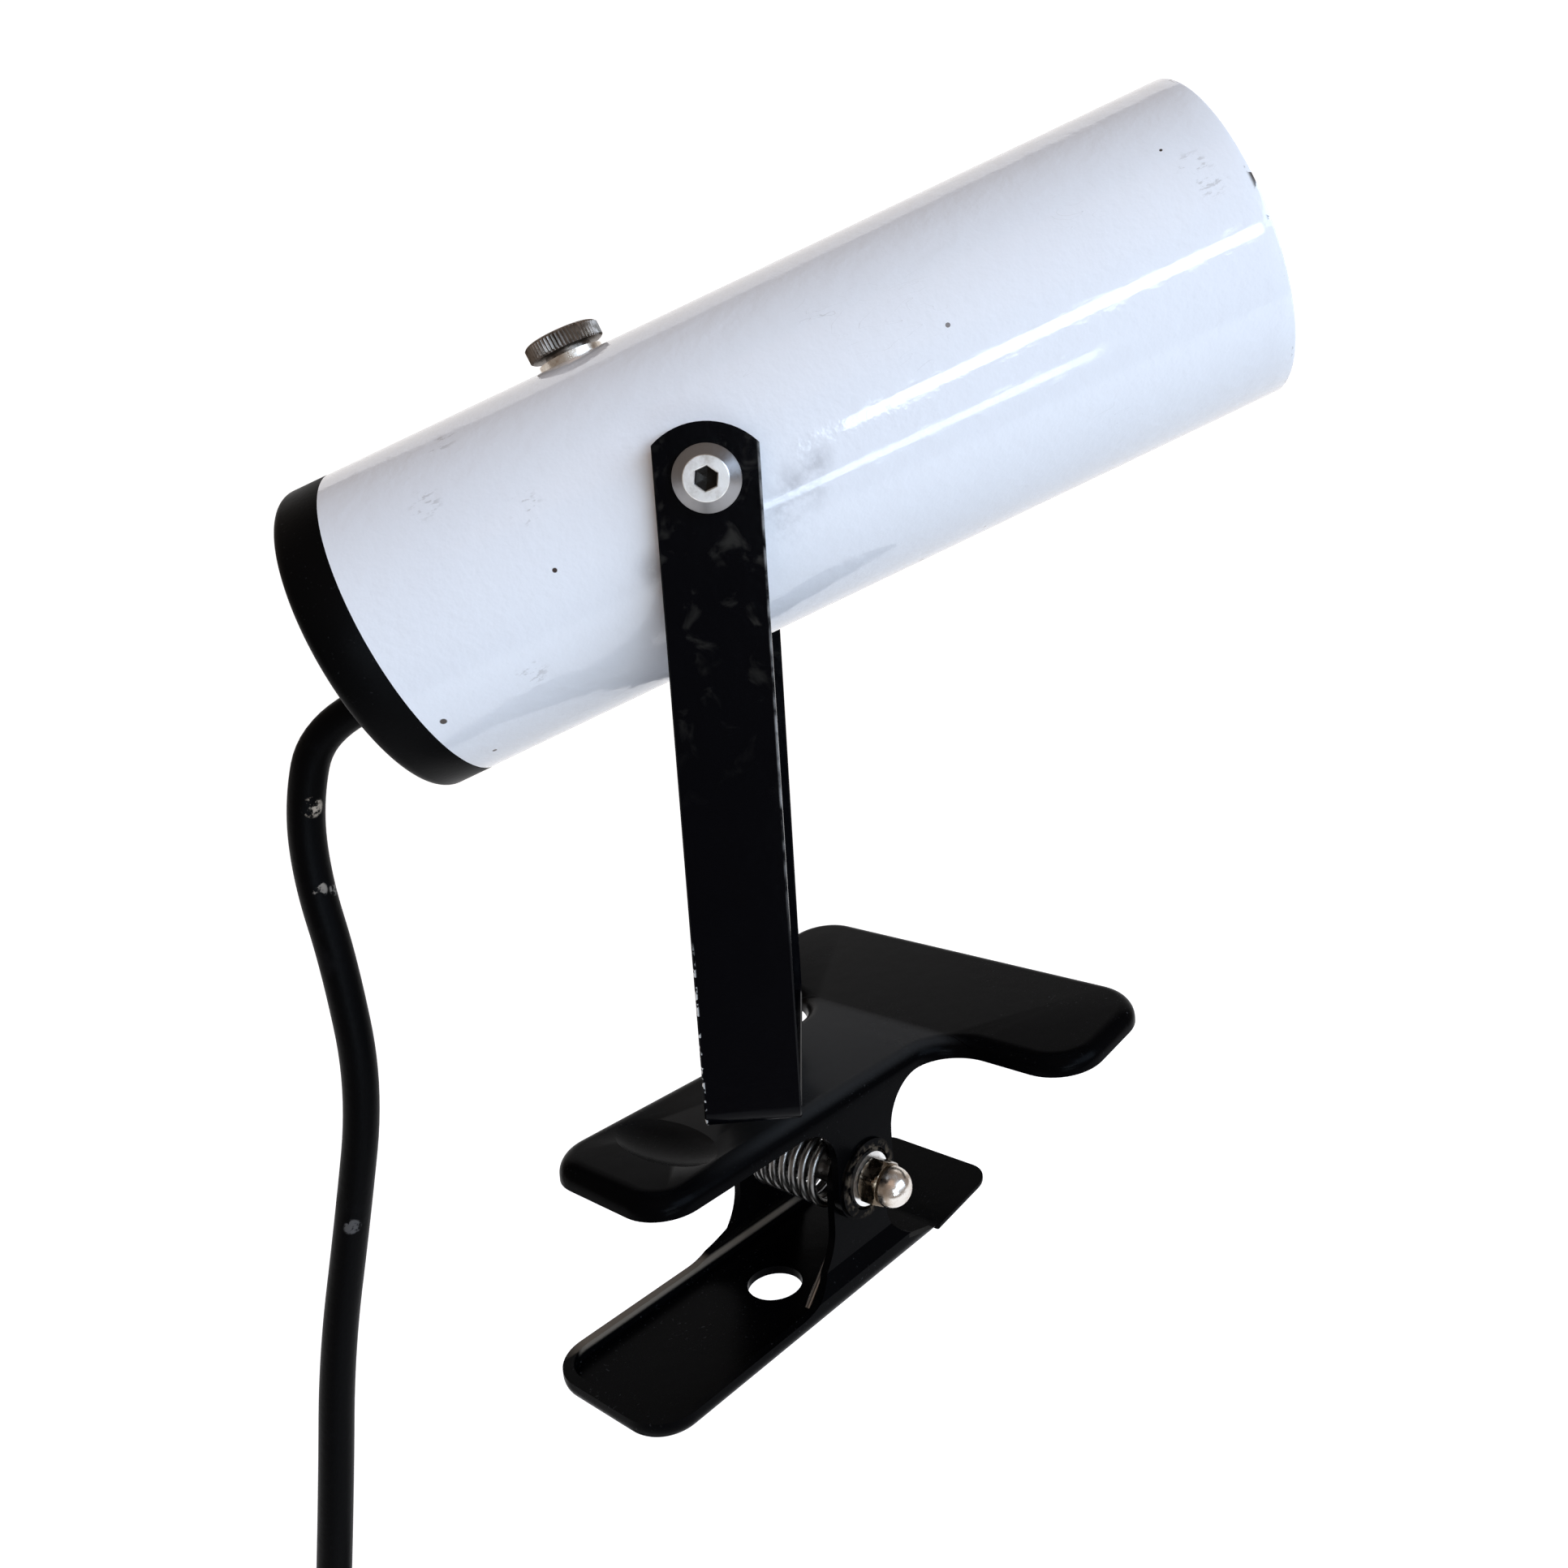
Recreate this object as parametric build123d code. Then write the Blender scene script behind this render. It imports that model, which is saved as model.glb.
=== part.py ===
from build123d import *
import math
import os

# A clamp spotlight: a long tube shade tilts between the two arms of a strap yoke, and the yoke
# turns on the upper jaw of a sprung clamp.  Millimetres, +Z up, +X towards the clamp's mouth.
# The origin lies on the underside of the upper jaw's wide grip, halfway along it.

# Shade and rear cap, measured along the tube from the tilt axis
tube_d = 70.0
tube_wall = 1.2
tube_front = 118.0
tube_rear = 72.0
rim_round = 0.5
cap_depth = 10.6
cap_round = 2.6
cap_plug_depth = 10.0
cap_wall = 2.4
cap_fit = 0.2

# Pose in which the lamp is drawn
head_pitch = 22.7
yoke_turn = -47.85

# Yoke
strap_w = 20.0
strap_t = 2.5
pivot_height = 141.4
arm_clearance = 4.0
arm_splay = 4.8
arm_end_round = 14.0
arm_end_rise = 10.5
bend_inside = 2.0
swivel_spacer_h = 7.7
swivel_spacer_r = 6.5
swivel_flange_r = 9.0
swivel_flange_t = 1.5

# Screws and their running clearance
running = 0.05
seat = 0.3
m6_r = 3.0
m6_hex = 10.0
pivot_shank_r = 3.0
pivot_head_r = 6.5
pivot_face_r = 4.3
pivot_head_h = 3.6
pivot_socket = 4.0
pivot_socket_depth = 2.6
pivot_spacer_r = 6.5
pivot_nut_hex = 10.0
pivot_nut_t = 4.0

# Thumb screw on top of the shade
thumb_at = -17.0
thumb_r = 8.2
thumb_t = 3.8
thumb_neck_r = 5.0
thumb_neck_h = 0.7
thumb_shank_r = 2.0
thumb_shank_len = 10.0
thumb_washer_r = 7.0
thumb_washer_t = 1.2
thumb_notches = 36
thumb_notch_r = 0.45

# Lamp holder, its bracket and the reflector lamp
bracket_w = 16.0
bracket_t = 1.5
bracket_front = -8.0
bracket_back = -47.0
bracket_nut_t = 3.0
bracket_nut_w = 7.0
holder_r = 20.0
holder_len = 38.0
terminal_y = 11.0
terminal_z = -8.0
core_r = 1.1
holder_floor = 6.0
shell_r = 13.9
shell_wall = 0.5
shell_len = 24.0
contact_r = 4.0
contact_t = 1.0
nipple_r = 5.0
nipple_bore = 3.6
nipple_depth = 4.0
nipple_nut_t = 2.5
bulb_cap_r = 13.2
bulb_cap_len = 22.0
bulb_len = 104.0
bulb_clearance = 2.3
bulb_neck_r = 12.4
bulb_glass = 0.8
bulb_neck_len = 16.0
bulb_front_len = 26.0
bulb_face_r = 22.0
bulb_tip_r = 4.5

# Clamp pressings, in the frame of the upper jaw's stem
sheet = 2.0
lip = 5.0
edge_round = 4.0
stem_half = 19.0
handle_reach = 49.0
handle_round = 10.0
bend_reach = 46.5
grip_len = 40.0
grip_half = 57.5
grip_tilt = 7.4
grip_round = 13.0
grip_mark = 19.5
crook_round = 12.0
far_crook_round = 16.0
dimple_x = -30.0
dimple_len = 15.0
dimple_w = 29.0
dimple_depth = 2.0
jaw_spacing = 53.0
tongue_reach = 66.0
tongue_round = 6.0
lip_fade_from = 29.0
lip_fade_to = 40.0
tongue_bend = 42.0
tongue_edge = 1.5
lower_extra = 4.0
access_r = 6.6

# Clamp bolt, ears and spring
bolt_x = 14.0
bolt_drop = 24.0
ear_half = 10.0
ear_sweep = 11.0
inner_ear_half = 9.5
inner_rear_sweep = 15.0
inner_front_sweep = 11.0
ear_gap = 0.4
boss_r = 9.4
boss_w = 2.0
boss_h = 0.8
bolt_washer_r = 6.4
bolt_washer_t = 1.0
bolt_head_t = 4.0
cap_nut_hex_t = 5.0
cap_nut_dome_r = 4.7
cap_nut_h = 11.0
sleeve_r = 4.3
wire_r = 1.05
spring_r = 9.0
spring_turns = 7
spring_half = 11.4
upper_leg = 26.0
lower_leg = 30.0

# Cord: diameter, exit from the cap, hanging route and stored coil, in the yoke's frame
cord_d = 7.8
exit_rise = 24.0
gland_len = 20.0
gland_out = 8.0
gland_r = 6.4
gland_tip_r = 4.9
gland_flange_r = 8.0
gland_flange_t = 1.2
exit_run = 12.0
cord_path = [
    (-95.4, 0.2, 74.5),
    (-95.2, -0.5, 57.5),
    (-91.6, -1.0, 38.0),
    (-89.2, -1.2, 8.0),
    (-95.6, -1.6, -24.0),
    (-102.2, -3.6, -56.0),
    (-105.0, -6.8, -88.0),
    (-108.4, -10.6, -122.0),
]
coil_run = 32.0
coil_left = -110.9
coil_top = -190.0
coil_side = -13.2
coil_pitch = 8.8
coil_mean_r = 40.2
coil_layers = 4
turns_per_layer = 1.5
coil_lead = 9.0
tie_w = 8.0
tie_t = 1.2
tie_gap = 0.3
tail_run = 26.0
tail_bend = (-112.8, 15.2, -258.0)
tail_end = (-112.4, 16.4, -282.0)
plug_len = 38.0
plug_w = 37.0
plug_h = 26.0
plug_neck_r = 6.5
plug_grip_len = 12.0
pin_r = 2.4
pin_len = 19.0
pin_spacing = 19.0

tube_r = tube_d / 2
bore_r = tube_r - tube_wall
arm_outside = tube_r + arm_clearance
foot_outside = arm_outside - arm_splay
exit_drop = tube_r - exit_rise
bulb_r = bore_r - bulb_clearance
bracket_top = math.sqrt(bore_r ** 2 - (bracket_w / 2) ** 2) - running
holder_back = bracket_back + bracket_t
holder_front = holder_back + holder_len
tilt = math.radians(grip_tilt)
stem_z = sheet / math.cos(tilt) - grip_mark * math.tan(tilt)
swivel_x = -(bend_reach + grip_mark)
lower_z = -jaw_spacing
ear_out = stem_half
ear_in = stem_half - sheet
inner_ear_out = ear_in - ear_gap
inner_ear_in = inner_ear_out - sheet
arm_lean = math.degrees(math.atan((arm_outside - foot_outside) / (pivot_height - swivel_spacer_h)))

jaw = Pos(swivel_x, 0, stem_z)
yoke = jaw * Rot(0, 0, yoke_turn)
head = yoke * Pos(0, 0, pivot_height) * Rot(0, -head_pitch, 0)


def save(name, shape, place):
    """Write one named piece at its place."""
    solids = (place * shape).solids()
    piece = solids[0] if len(solids) == 1 else Compound(children=list(solids))
    export_step(piece, f"parts/{name}.step")


def turned(points):
    """Solid turned about the X axis from (x, radius) points."""
    outline = Polyline([(x, r) for x, r in points], close=True)
    return revolve(make_face(outline), Axis.X)


def hexagon(across, height):
    """Hexagonal block standing on the XY plane."""
    return extrude(RegularPolygon(across / 2, 6, major_radius=False), height)


def arc_middle(start, heading, end):
    """Middle point of the arc that leaves start along heading and reaches end."""
    chord = end - start
    along = chord.normalized()
    aside = heading - along * heading.dot(along)
    if aside.length < 1e-9:
        return None
    turn = math.acos(max(-1.0, min(1.0, heading.dot(along))))
    return (start + end) * 0.5 + aside.normalized() * (chord.length / 2 * math.tan(turn / 2))


def biarc(start, start_heading, end, end_heading):
    """Two tangent arcs between two points with given headings."""
    gap = end - start
    total = start_heading + end_heading
    spread = 2 * (1 - start_heading.dot(end_heading))
    lean = gap.dot(total)
    reach = (-lean + math.sqrt(lean * lean + spread * gap.dot(gap))) / spread
    joint = (start + end + (start_heading - end_heading) * reach) * 0.5
    first = ThreePointArc(start, arc_middle(start, start_heading, joint), joint)
    back = arc_middle(end, end_heading * -1, joint)
    return [first, ThreePointArc(joint, back, end)]


def wound(place_at, steps, lead_in, lead_out):
    """Unbroken path through the points of a winding, with straight ends."""
    tiny = 1e-4
    points = [place_at(i / steps) for i in range(steps + 1)]
    headings = []
    for i in range(steps + 1):
        before = place_at(max(0.0, i / steps - tiny))
        after = place_at(min(1.0, i / steps + tiny))
        headings.append((after - before).normalized())
    edges = [Line(points[0] - headings[0] * lead_in, points[0])]
    for i in range(steps):
        edges += biarc(points[i], headings[i], points[i + 1], headings[i + 1])
    edges.append(Line(points[-1], points[-1] + headings[-1] * lead_out))
    return Wire(edges), points, headings


def tube_along(path, radius):
    """Round bar swept along a path."""
    start = path.position_at(0)
    across = Plane(origin=start, z_dir=path.tangent_at(0))
    return sweep(across * Circle(radius), path=path)


def least_gap(place_at, radius, turns, samples):
    """Least distance between neighbouring turns of a winding, less its thickness."""
    points = [place_at(i / samples) for i in range(samples + 1)]
    apart = int(samples / turns * 0.6)
    least = min(
        (points[i] - points[k]).length
        for i in range(0, samples, 3)
        for k in range(i + apart, samples + 1, 3)
    )
    return least - 2 * radius


def rounded_route(points):
    """Path of straight runs joined by arcs as large as the runs allow."""
    spots = [Vector(*p) for p in points]
    radii = []
    for i in range(1, len(spots) - 1):
        before = spots[i] - spots[i - 1]
        after = spots[i + 1] - spots[i]
        half = math.radians(before.get_angle(after) / 2)
        radii.append(0.45 * min(before.length, after.length) / math.tan(half))
    return FilletPolyline(*spots, radius=radii), radii


# Shade: a plain rolled tube, open at the front
def make_tube():
    wall = turned([
        (-tube_rear, bore_r),
        (tube_front, bore_r),
        (tube_front, tube_r),
        (-tube_rear, tube_r),
    ])
    wall = fillet(wall.edges().group_by(Axis.X)[-1], rim_round)
    side_hole = Rot(90, 0, 0) * Cylinder(pivot_shank_r + running, tube_d + 2)
    top_hole = Pos(thumb_at, 0, tube_r) * Cylinder(thumb_shank_r + running, 4 * tube_wall)
    return wall - side_hole - top_hole


# Rear cap: a moulded lid with a spigot that presses into the shade
def make_cap():
    back = -tube_rear - cap_depth
    outer = turned([(back, 0), (back, tube_r), (-tube_rear, tube_r), (-tube_rear, 0)])
    outer = fillet(outer.edges().group_by(Axis.X)[0], cap_round)
    spigot_r = bore_r - cap_fit
    spigot_end = -tube_rear + cap_plug_depth
    spigot = turned([(-tube_rear - 1, 0), (-tube_rear - 1, spigot_r), (spigot_end, spigot_r), (spigot_end, 0)])
    hollow_r = spigot_r - cap_wall
    hollow = turned([(back + cap_wall, 0), (back + cap_wall, hollow_r), (spigot_end + 1, hollow_r), (spigot_end + 1, 0)])
    hole = Pos(back, 0, -exit_drop) * Rot(0, 90, 0) * Cylinder(gland_r + seat / 2, 4 * cap_wall)
    return outer + spigot - hollow - hole


# Strain relief: a rubber sleeve through the cap, flanged inside and tapered outside
def make_gland():
    back = -tube_rear - cap_depth
    inside = back + cap_wall + 0.05
    tip = back - gland_out
    sleeve = turned([
        (tip, cord_d / 2 + 0.05),
        (tip, gland_tip_r),
        (back, gland_r),
        (inside, gland_r),
        (inside, gland_flange_r),
        (inside + gland_flange_t, gland_flange_r),
        (inside + gland_flange_t, gland_r),
        (tip + gland_len, gland_r - 1),
        (tip + gland_len, cord_d / 2 + 0.05),
    ])
    return Pos(0, 0, -exit_drop) * sleeve


def make_cord_stub():
    """The cord inside the strain relief, up to where its sheath is stripped."""
    tip = -tube_rear - cap_depth - gland_out
    stub = Pos(tip, 0, -exit_drop) * Rot(0, 90, 0) * Cylinder(cord_d / 2, gland_len + 2, align=(Align.CENTER, Align.CENTER, Align.MIN))
    return stub


# Two cores from the stripped cord to the holder's terminals
def make_cores():
    start = -tube_rear - cap_depth - gland_out + gland_len + 2
    cores = []
    for side in (-1, 1):
        path = rounded_route([
            (start, side * 1.6, -exit_drop),
            (start + 4, side * 1.6, -exit_drop),
            (holder_back - 5, side * terminal_y, terminal_z),
            (holder_back + 3, side * terminal_y, terminal_z),
        ])[0]
        cores.append(tube_along(path, core_r))
    return Compound(children=cores)


# Lamp holder: a moulded cup with a brass screw shell and a centre contact
def make_holder():
    back = holder_back
    neck = back + 8
    body = turned([
        (back, 0),
        (back, holder_r - 4),
        (neck, holder_r - 2),
        (neck, holder_r),
        (holder_front, holder_r),
        (holder_front, shell_r),
        (back + holder_floor, shell_r),
        (back + holder_floor, 0),
    ])
    bore = Pos(back, 0, 0) * Rot(0, 90, 0) * Cylinder(nipple_r + running, 2 * nipple_depth + 1)
    terminals = [
        Pos(back, side * terminal_y, terminal_z) * Rot(0, 90, 0) * Cylinder(core_r + running, 8)
        for side in (-1, 1)
    ]
    return body - bore - terminals


def make_screw_shell():
    back = holder_back + holder_floor
    shell = turned([
        (back, shell_r - shell_wall),
        (back, shell_r),
        (back + shell_len, shell_r),
        (back + shell_len, shell_r - shell_wall),
    ])
    return shell


def make_contact():
    back = holder_back + holder_floor
    tongue = Pos(back, 0, 0) * Rot(0, 90, 0) * Cylinder(contact_r, contact_t, align=(Align.CENTER, Align.CENTER, Align.MIN))
    rim = Pos(back, 0, 0) * Rot(0, 90, 0) * Cylinder(contact_r + 4, 0.6, align=(Align.CENTER, Align.CENTER, Align.MIN))
    return tongue + rim


# Bracket: a strip under the thumb screw, turned down behind the holder
def make_bracket():
    top = bracket_top
    strip = Pos((bracket_front + bracket_back) / 2, 0, top - bracket_t / 2) * Box(
        bracket_front - bracket_back, bracket_w, bracket_t
    )
    leg = Pos(bracket_back + bracket_t / 2, 0, (top - 8) / 2) * Box(bracket_t, bracket_w, top + 8)
    plate = strip + leg
    corner = plate.edges().filter_by(Axis.Y).sort_by_distance((bracket_back, 0, top))[0]
    plate = fillet(corner, bracket_t)
    ends = plate.edges().filter_by(Axis.X).sort_by(Axis.Z)
    plate = fillet(ends[:2], 5.0)
    screw_hole = Pos(thumb_at, 0, top) * Cylinder(thumb_shank_r + running, 4 * bracket_t)
    nipple_hole = Pos(bracket_back, 0, 0) * Rot(0, 90, 0) * Cylinder(nipple_r + 0.05, 4 * bracket_t)
    return plate - screw_hole - nipple_hole


def make_bracket_nut():
    top = bracket_top - bracket_t
    block = Pos(thumb_at, 0, top - bracket_nut_t / 2) * Box(bracket_nut_w, bracket_nut_w, bracket_nut_t)
    return block - Pos(thumb_at, 0, top) * Cylinder(thumb_shank_r + running, 4 * bracket_nut_t)


# Threaded nipple that joins the holder to the bracket, with its lock nut
def make_nipple():
    back = bracket_back - nipple_nut_t - 1
    front = holder_back + nipple_depth
    return turned([(back, nipple_bore), (back, nipple_r), (front, nipple_r), (front, nipple_bore)])


def make_nipple_nut():
    block = Pos(bracket_back - nipple_nut_t, 0, 0) * Rot(0, 90, 0) * hexagon(14.0, nipple_nut_t)
    return block - Pos(bracket_back, 0, 0) * Rot(0, 90, 0) * Cylinder(nipple_r + 0.02, 4 * nipple_nut_t)


# Reflector lamp: screw cap, glass envelope and solder tip
def make_bulb():
    cap_back = holder_back + holder_floor + contact_t + 2.0
    cap_front = cap_back + bulb_cap_len
    front = cap_back - 2.0 + bulb_len
    shoulder = front - bulb_front_len
    neck_end = cap_front + bulb_neck_len

    def side_view(inset):
        radii = [12.0 + inset, 14.0 - inset, 9.0 - inset]
        return FilletPolyline(
            (cap_front, bulb_neck_r - inset), (neck_end, bulb_neck_r - inset), (shoulder, bulb_r - inset),
            (front - 10, bulb_r - inset), (front - inset, 0), radius=radii,
        )

    outer_line = side_view(0)
    inner_line = side_view(bulb_glass)
    closing = [Line(outer_line @ 1, inner_line @ 1), Line(inner_line @ 0, outer_line @ 0)]
    glass = revolve(make_face([*outer_line.edges(), *inner_line.edges(), *closing]), Axis.X)
    steps = [(cap_back, 9.0)]
    ribs = 6
    pitch = (bulb_cap_len - 4) / ribs
    for i in range(ribs):
        x = cap_back + 2 + i * pitch
        steps += [(x, bulb_cap_r - 0.6), (x + pitch / 2, bulb_cap_r)]
    steps += [(cap_front, bulb_cap_r - 0.3), (cap_front, 0), (cap_back, 0)]
    cap = turned(steps)
    tip = Pos(cap_back - 2.0, 0, 0) * Rot(0, 90, 0) * Cylinder(bulb_tip_r, 2.0, align=(Align.CENTER, Align.CENTER, Align.MIN))
    return glass, cap, tip


# Thumb screw with a knurled edge, its washer shaped to the shade
def make_thumb_screw():
    disc_z = tube_r + thumb_washer_t + thumb_neck_h
    disc = Pos(0, 0, disc_z) * Cylinder(thumb_r, thumb_t, align=(Align.CENTER, Align.CENTER, Align.MIN))
    disc = chamfer(disc.edges(), 0.5)
    notches = [
        Rot(0, 0, 360 / thumb_notches * i) * Pos(thumb_r, 0, disc_z + thumb_t / 2)
        * Rot(0, 0, 45) * Box(2 * thumb_notch_r, 2 * thumb_notch_r, thumb_t + 1)
        for i in range(thumb_notches)
    ]
    neck = Pos(0, 0, tube_r + thumb_washer_t) * Cylinder(thumb_neck_r, thumb_neck_h + 1, align=(Align.CENTER, Align.CENTER, Align.MIN))
    shank = Pos(0, 0, disc_z - thumb_shank_len) * Cylinder(thumb_shank_r, thumb_shank_len, align=(Align.CENTER, Align.CENTER, Align.MIN))
    return Pos(thumb_at, 0, 0) * ((disc - notches) + neck + shank)


def make_thumb_washer():
    ring = Pos(thumb_at, 0, tube_r - 1) * Cylinder(
        thumb_washer_r, thumb_washer_t + 1 - seat, align=(Align.CENTER, Align.CENTER, Align.MIN)
    )
    ring -= Pos(thumb_at, 0, tube_r) * Cylinder(thumb_shank_r + running + 0.05, 8)
    return ring - Rot(0, 90, 0) * Cylinder(tube_r, tube_d)


# Tilt screws, one through each arm into a nut inside the shade
def lean(side):
    """Place of an arm's outer face at the tilt axis, leaning in to the foot."""
    return Pos(0, side * arm_outside, 0) * Rot(side * arm_lean, 0, 0)


def make_pivot_screw(side):
    head_low = arm_outside + seat + 0.2
    cone = turned([
        (head_low, 0),
        (head_low, pivot_head_r - 0.4),
        (head_low + 0.5, pivot_head_r),
        (head_low + 1.2, pivot_head_r),
        (head_low + pivot_head_h, pivot_face_r),
        (head_low + pivot_head_h, 0),
    ])
    end = bore_r - pivot_nut_t - 1.5
    shank = turned([(end, 0), (end, pivot_shank_r), (head_low + 0.5, pivot_shank_r), (head_low + 0.5, 0)])
    socket = Pos(head_low + pivot_head_h - pivot_socket_depth, 0, 0) * Rot(0, 90, 0) * hexagon(pivot_socket, pivot_socket_depth + 1)
    return Rot(0, 0, side * 90) * (cone + shank - socket)


def make_pivot_spacer(side):
    inner_face = arm_outside - strap_t - 0.5
    ring = turned([
        (tube_r - 2, pivot_shank_r + 0.1),
        (tube_r - 2, pivot_spacer_r),
        (inner_face, pivot_spacer_r),
        (inner_face, pivot_shank_r + 0.1),
    ])
    return Rot(0, 0, side * 90) * ring - Rot(0, 90, 0) * Cylinder(tube_r, tube_d)


def make_pivot_nut(side):
    face = bore_r + 0.6
    block = Pos(face - pivot_nut_t - 0.6, 0, 0) * Rot(0, 90, 0) * hexagon(pivot_nut_hex, pivot_nut_t + 0.6)
    block -= Pos(face, 0, 0) * Rot(0, 90, 0) * Cylinder(pivot_shank_r + 0.02, 6 * pivot_nut_t)
    return Rot(0, 0, side * 90) * block & Rot(0, 90, 0) * Cylinder(bore_r, tube_d)


# Yoke: one strap bent into a U, arms leaning out to the shade
def make_yoke():
    base_z = swivel_spacer_h
    arm_top = pivot_height + arm_end_rise
    top_out = foot_outside + (arm_outside - foot_outside) * (arm_top - base_z) / (pivot_height - base_z)
    section = Plane.YZ * make_face(Polyline(
        (-top_out, arm_top), (-foot_outside, base_z), (foot_outside, base_z), (top_out, arm_top),
        (top_out - strap_t, arm_top), (foot_outside - strap_t, base_z + strap_t),
        (-foot_outside + strap_t, base_z + strap_t), (-top_out + strap_t, arm_top), close=True,
    ))
    strap = extrude(section, strap_w / 2, both=True)
    feet = strap.edges().filter_by(Axis.X).group_by(Axis.Z)
    strap = fillet(feet[0], bend_inside + strap_t)
    inner = [e for e in strap.edges().filter_by(Axis.X) if abs(e.center().Z - base_z - strap_t) < 0.01]
    inner = [e for e in inner if abs(abs(e.center().Y) - foot_outside + strap_t) < 0.5]
    strap = fillet(inner, bend_inside)
    crown = Pos(0, 0, pivot_height + arm_end_rise - arm_end_round) * Rot(90, 0, 0) * Cylinder(arm_end_round, 3 * arm_outside)
    body = Pos(0, 0, pivot_height / 2) * Box(strap_w + 2, 3 * arm_outside, pivot_height + 2)
    strap = strap & (crown + body)
    tilt_hole = Pos(0, 0, pivot_height) * Rot(90, 0, 0) * Cylinder(pivot_shank_r + running, 3 * arm_outside)
    swivel_hole = Pos(0, 0, base_z) * Cylinder(m6_r + running, 4 * strap_t)
    long_edges = [e for e in strap.edges() if e.length > pivot_height / 2]
    return chamfer(long_edges, 0.3) - tilt_hole - swivel_hole


# Swivel screw through the yoke's base and the upper jaw, with a spacer bush and a lock nut
def make_swivel_screw():
    under_head = swivel_spacer_h + strap_t + seat
    top = Pos(0, 0, under_head) * hexagon(m6_hex, 4.0)
    dome = Pos(0, 0, under_head + 4.0 - 8.0) * Sphere(9.6)
    shank_len = under_head + sheet + 7.5
    shank = Pos(0, 0, under_head - shank_len) * Cylinder(m6_r, shank_len, align=(Align.CENTER, Align.CENTER, Align.MIN))
    return (top & dome) + shank


def make_swivel_spacer():
    flange = Cylinder(swivel_flange_r, swivel_flange_t, align=(Align.CENTER, Align.CENTER, Align.MIN))
    bush = Cylinder(swivel_spacer_r, swivel_spacer_h - seat, align=(Align.CENTER, Align.CENTER, Align.MIN))
    return flange + bush - Cylinder(m6_r + 0.1, 3 * swivel_spacer_h)


def make_swivel_nut():
    block = Pos(0, 0, -sheet - 6.0) * hexagon(m6_hex, 5.0)
    plate = Pos(0, 0, -sheet - 1.0) * Cylinder(6.2, 1.0, align=(Align.CENTER, Align.CENTER, Align.MIN))
    return (block + plate) - Cylinder(m6_r + 0.02, 40)


# Jaw pressings
def pressed(face, depth, hold=None, round_by=edge_round):
    """Tray pressed from sheet: a rounded face with lips turned down all round."""
    block = extrude(face, -depth)
    rim = block.edges().group_by(Axis.Z)[-1]
    if hold:
        rim = [e for e in rim if not hold(e)]
    return fillet(rim, round_by)


def ear(half, sweep_rear, sweep_front, reach, low_lip):
    """Side view of an ear: a rounded tongue that sweeps out into the lip."""
    width = 2 * half
    root_w = width + 2 * (sweep_rear + sweep_front)
    root = Pos(bolt_x, -(edge_round + lip) / 2) * Rectangle(root_w, lip - edge_round)
    neck = Pos(bolt_x, -(edge_round + reach) / 2) * Rectangle(width, reach - edge_round)
    view = root + neck + Pos(bolt_x, -reach) * Circle(half)
    corners = [v for v in view.vertices() if abs(v.Y + lip) < 0.01 and abs(abs(v.X - bolt_x) - half) < 0.01]
    rear = [v for v in corners if v.X < bolt_x]
    front = [v for v in corners if v.X > bolt_x]
    view = fillet(rear, sweep_rear)
    front = [v for v in view.vertices() if abs(v.Y + lip) < 0.01 and abs(v.X - bolt_x - half) < 0.01]
    return fillet(front, sweep_front)


def dish(grow, deepen):
    """Oval cap that sinks a thumb dimple, optionally larger for the bulge under it."""
    rise = 1.5 * dimple_depth
    low = rise + dimple_depth + deepen
    widen = rise / (rise + dimple_depth)
    spread = 1 / math.sqrt(1 - widen ** 2)
    along = (dimple_len / 2 + grow) * spread
    across = (dimple_w / 2 + grow) * spread
    return Pos(dimple_x, 0, rise) * scale(Sphere(1), by=(along, across, low))


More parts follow.
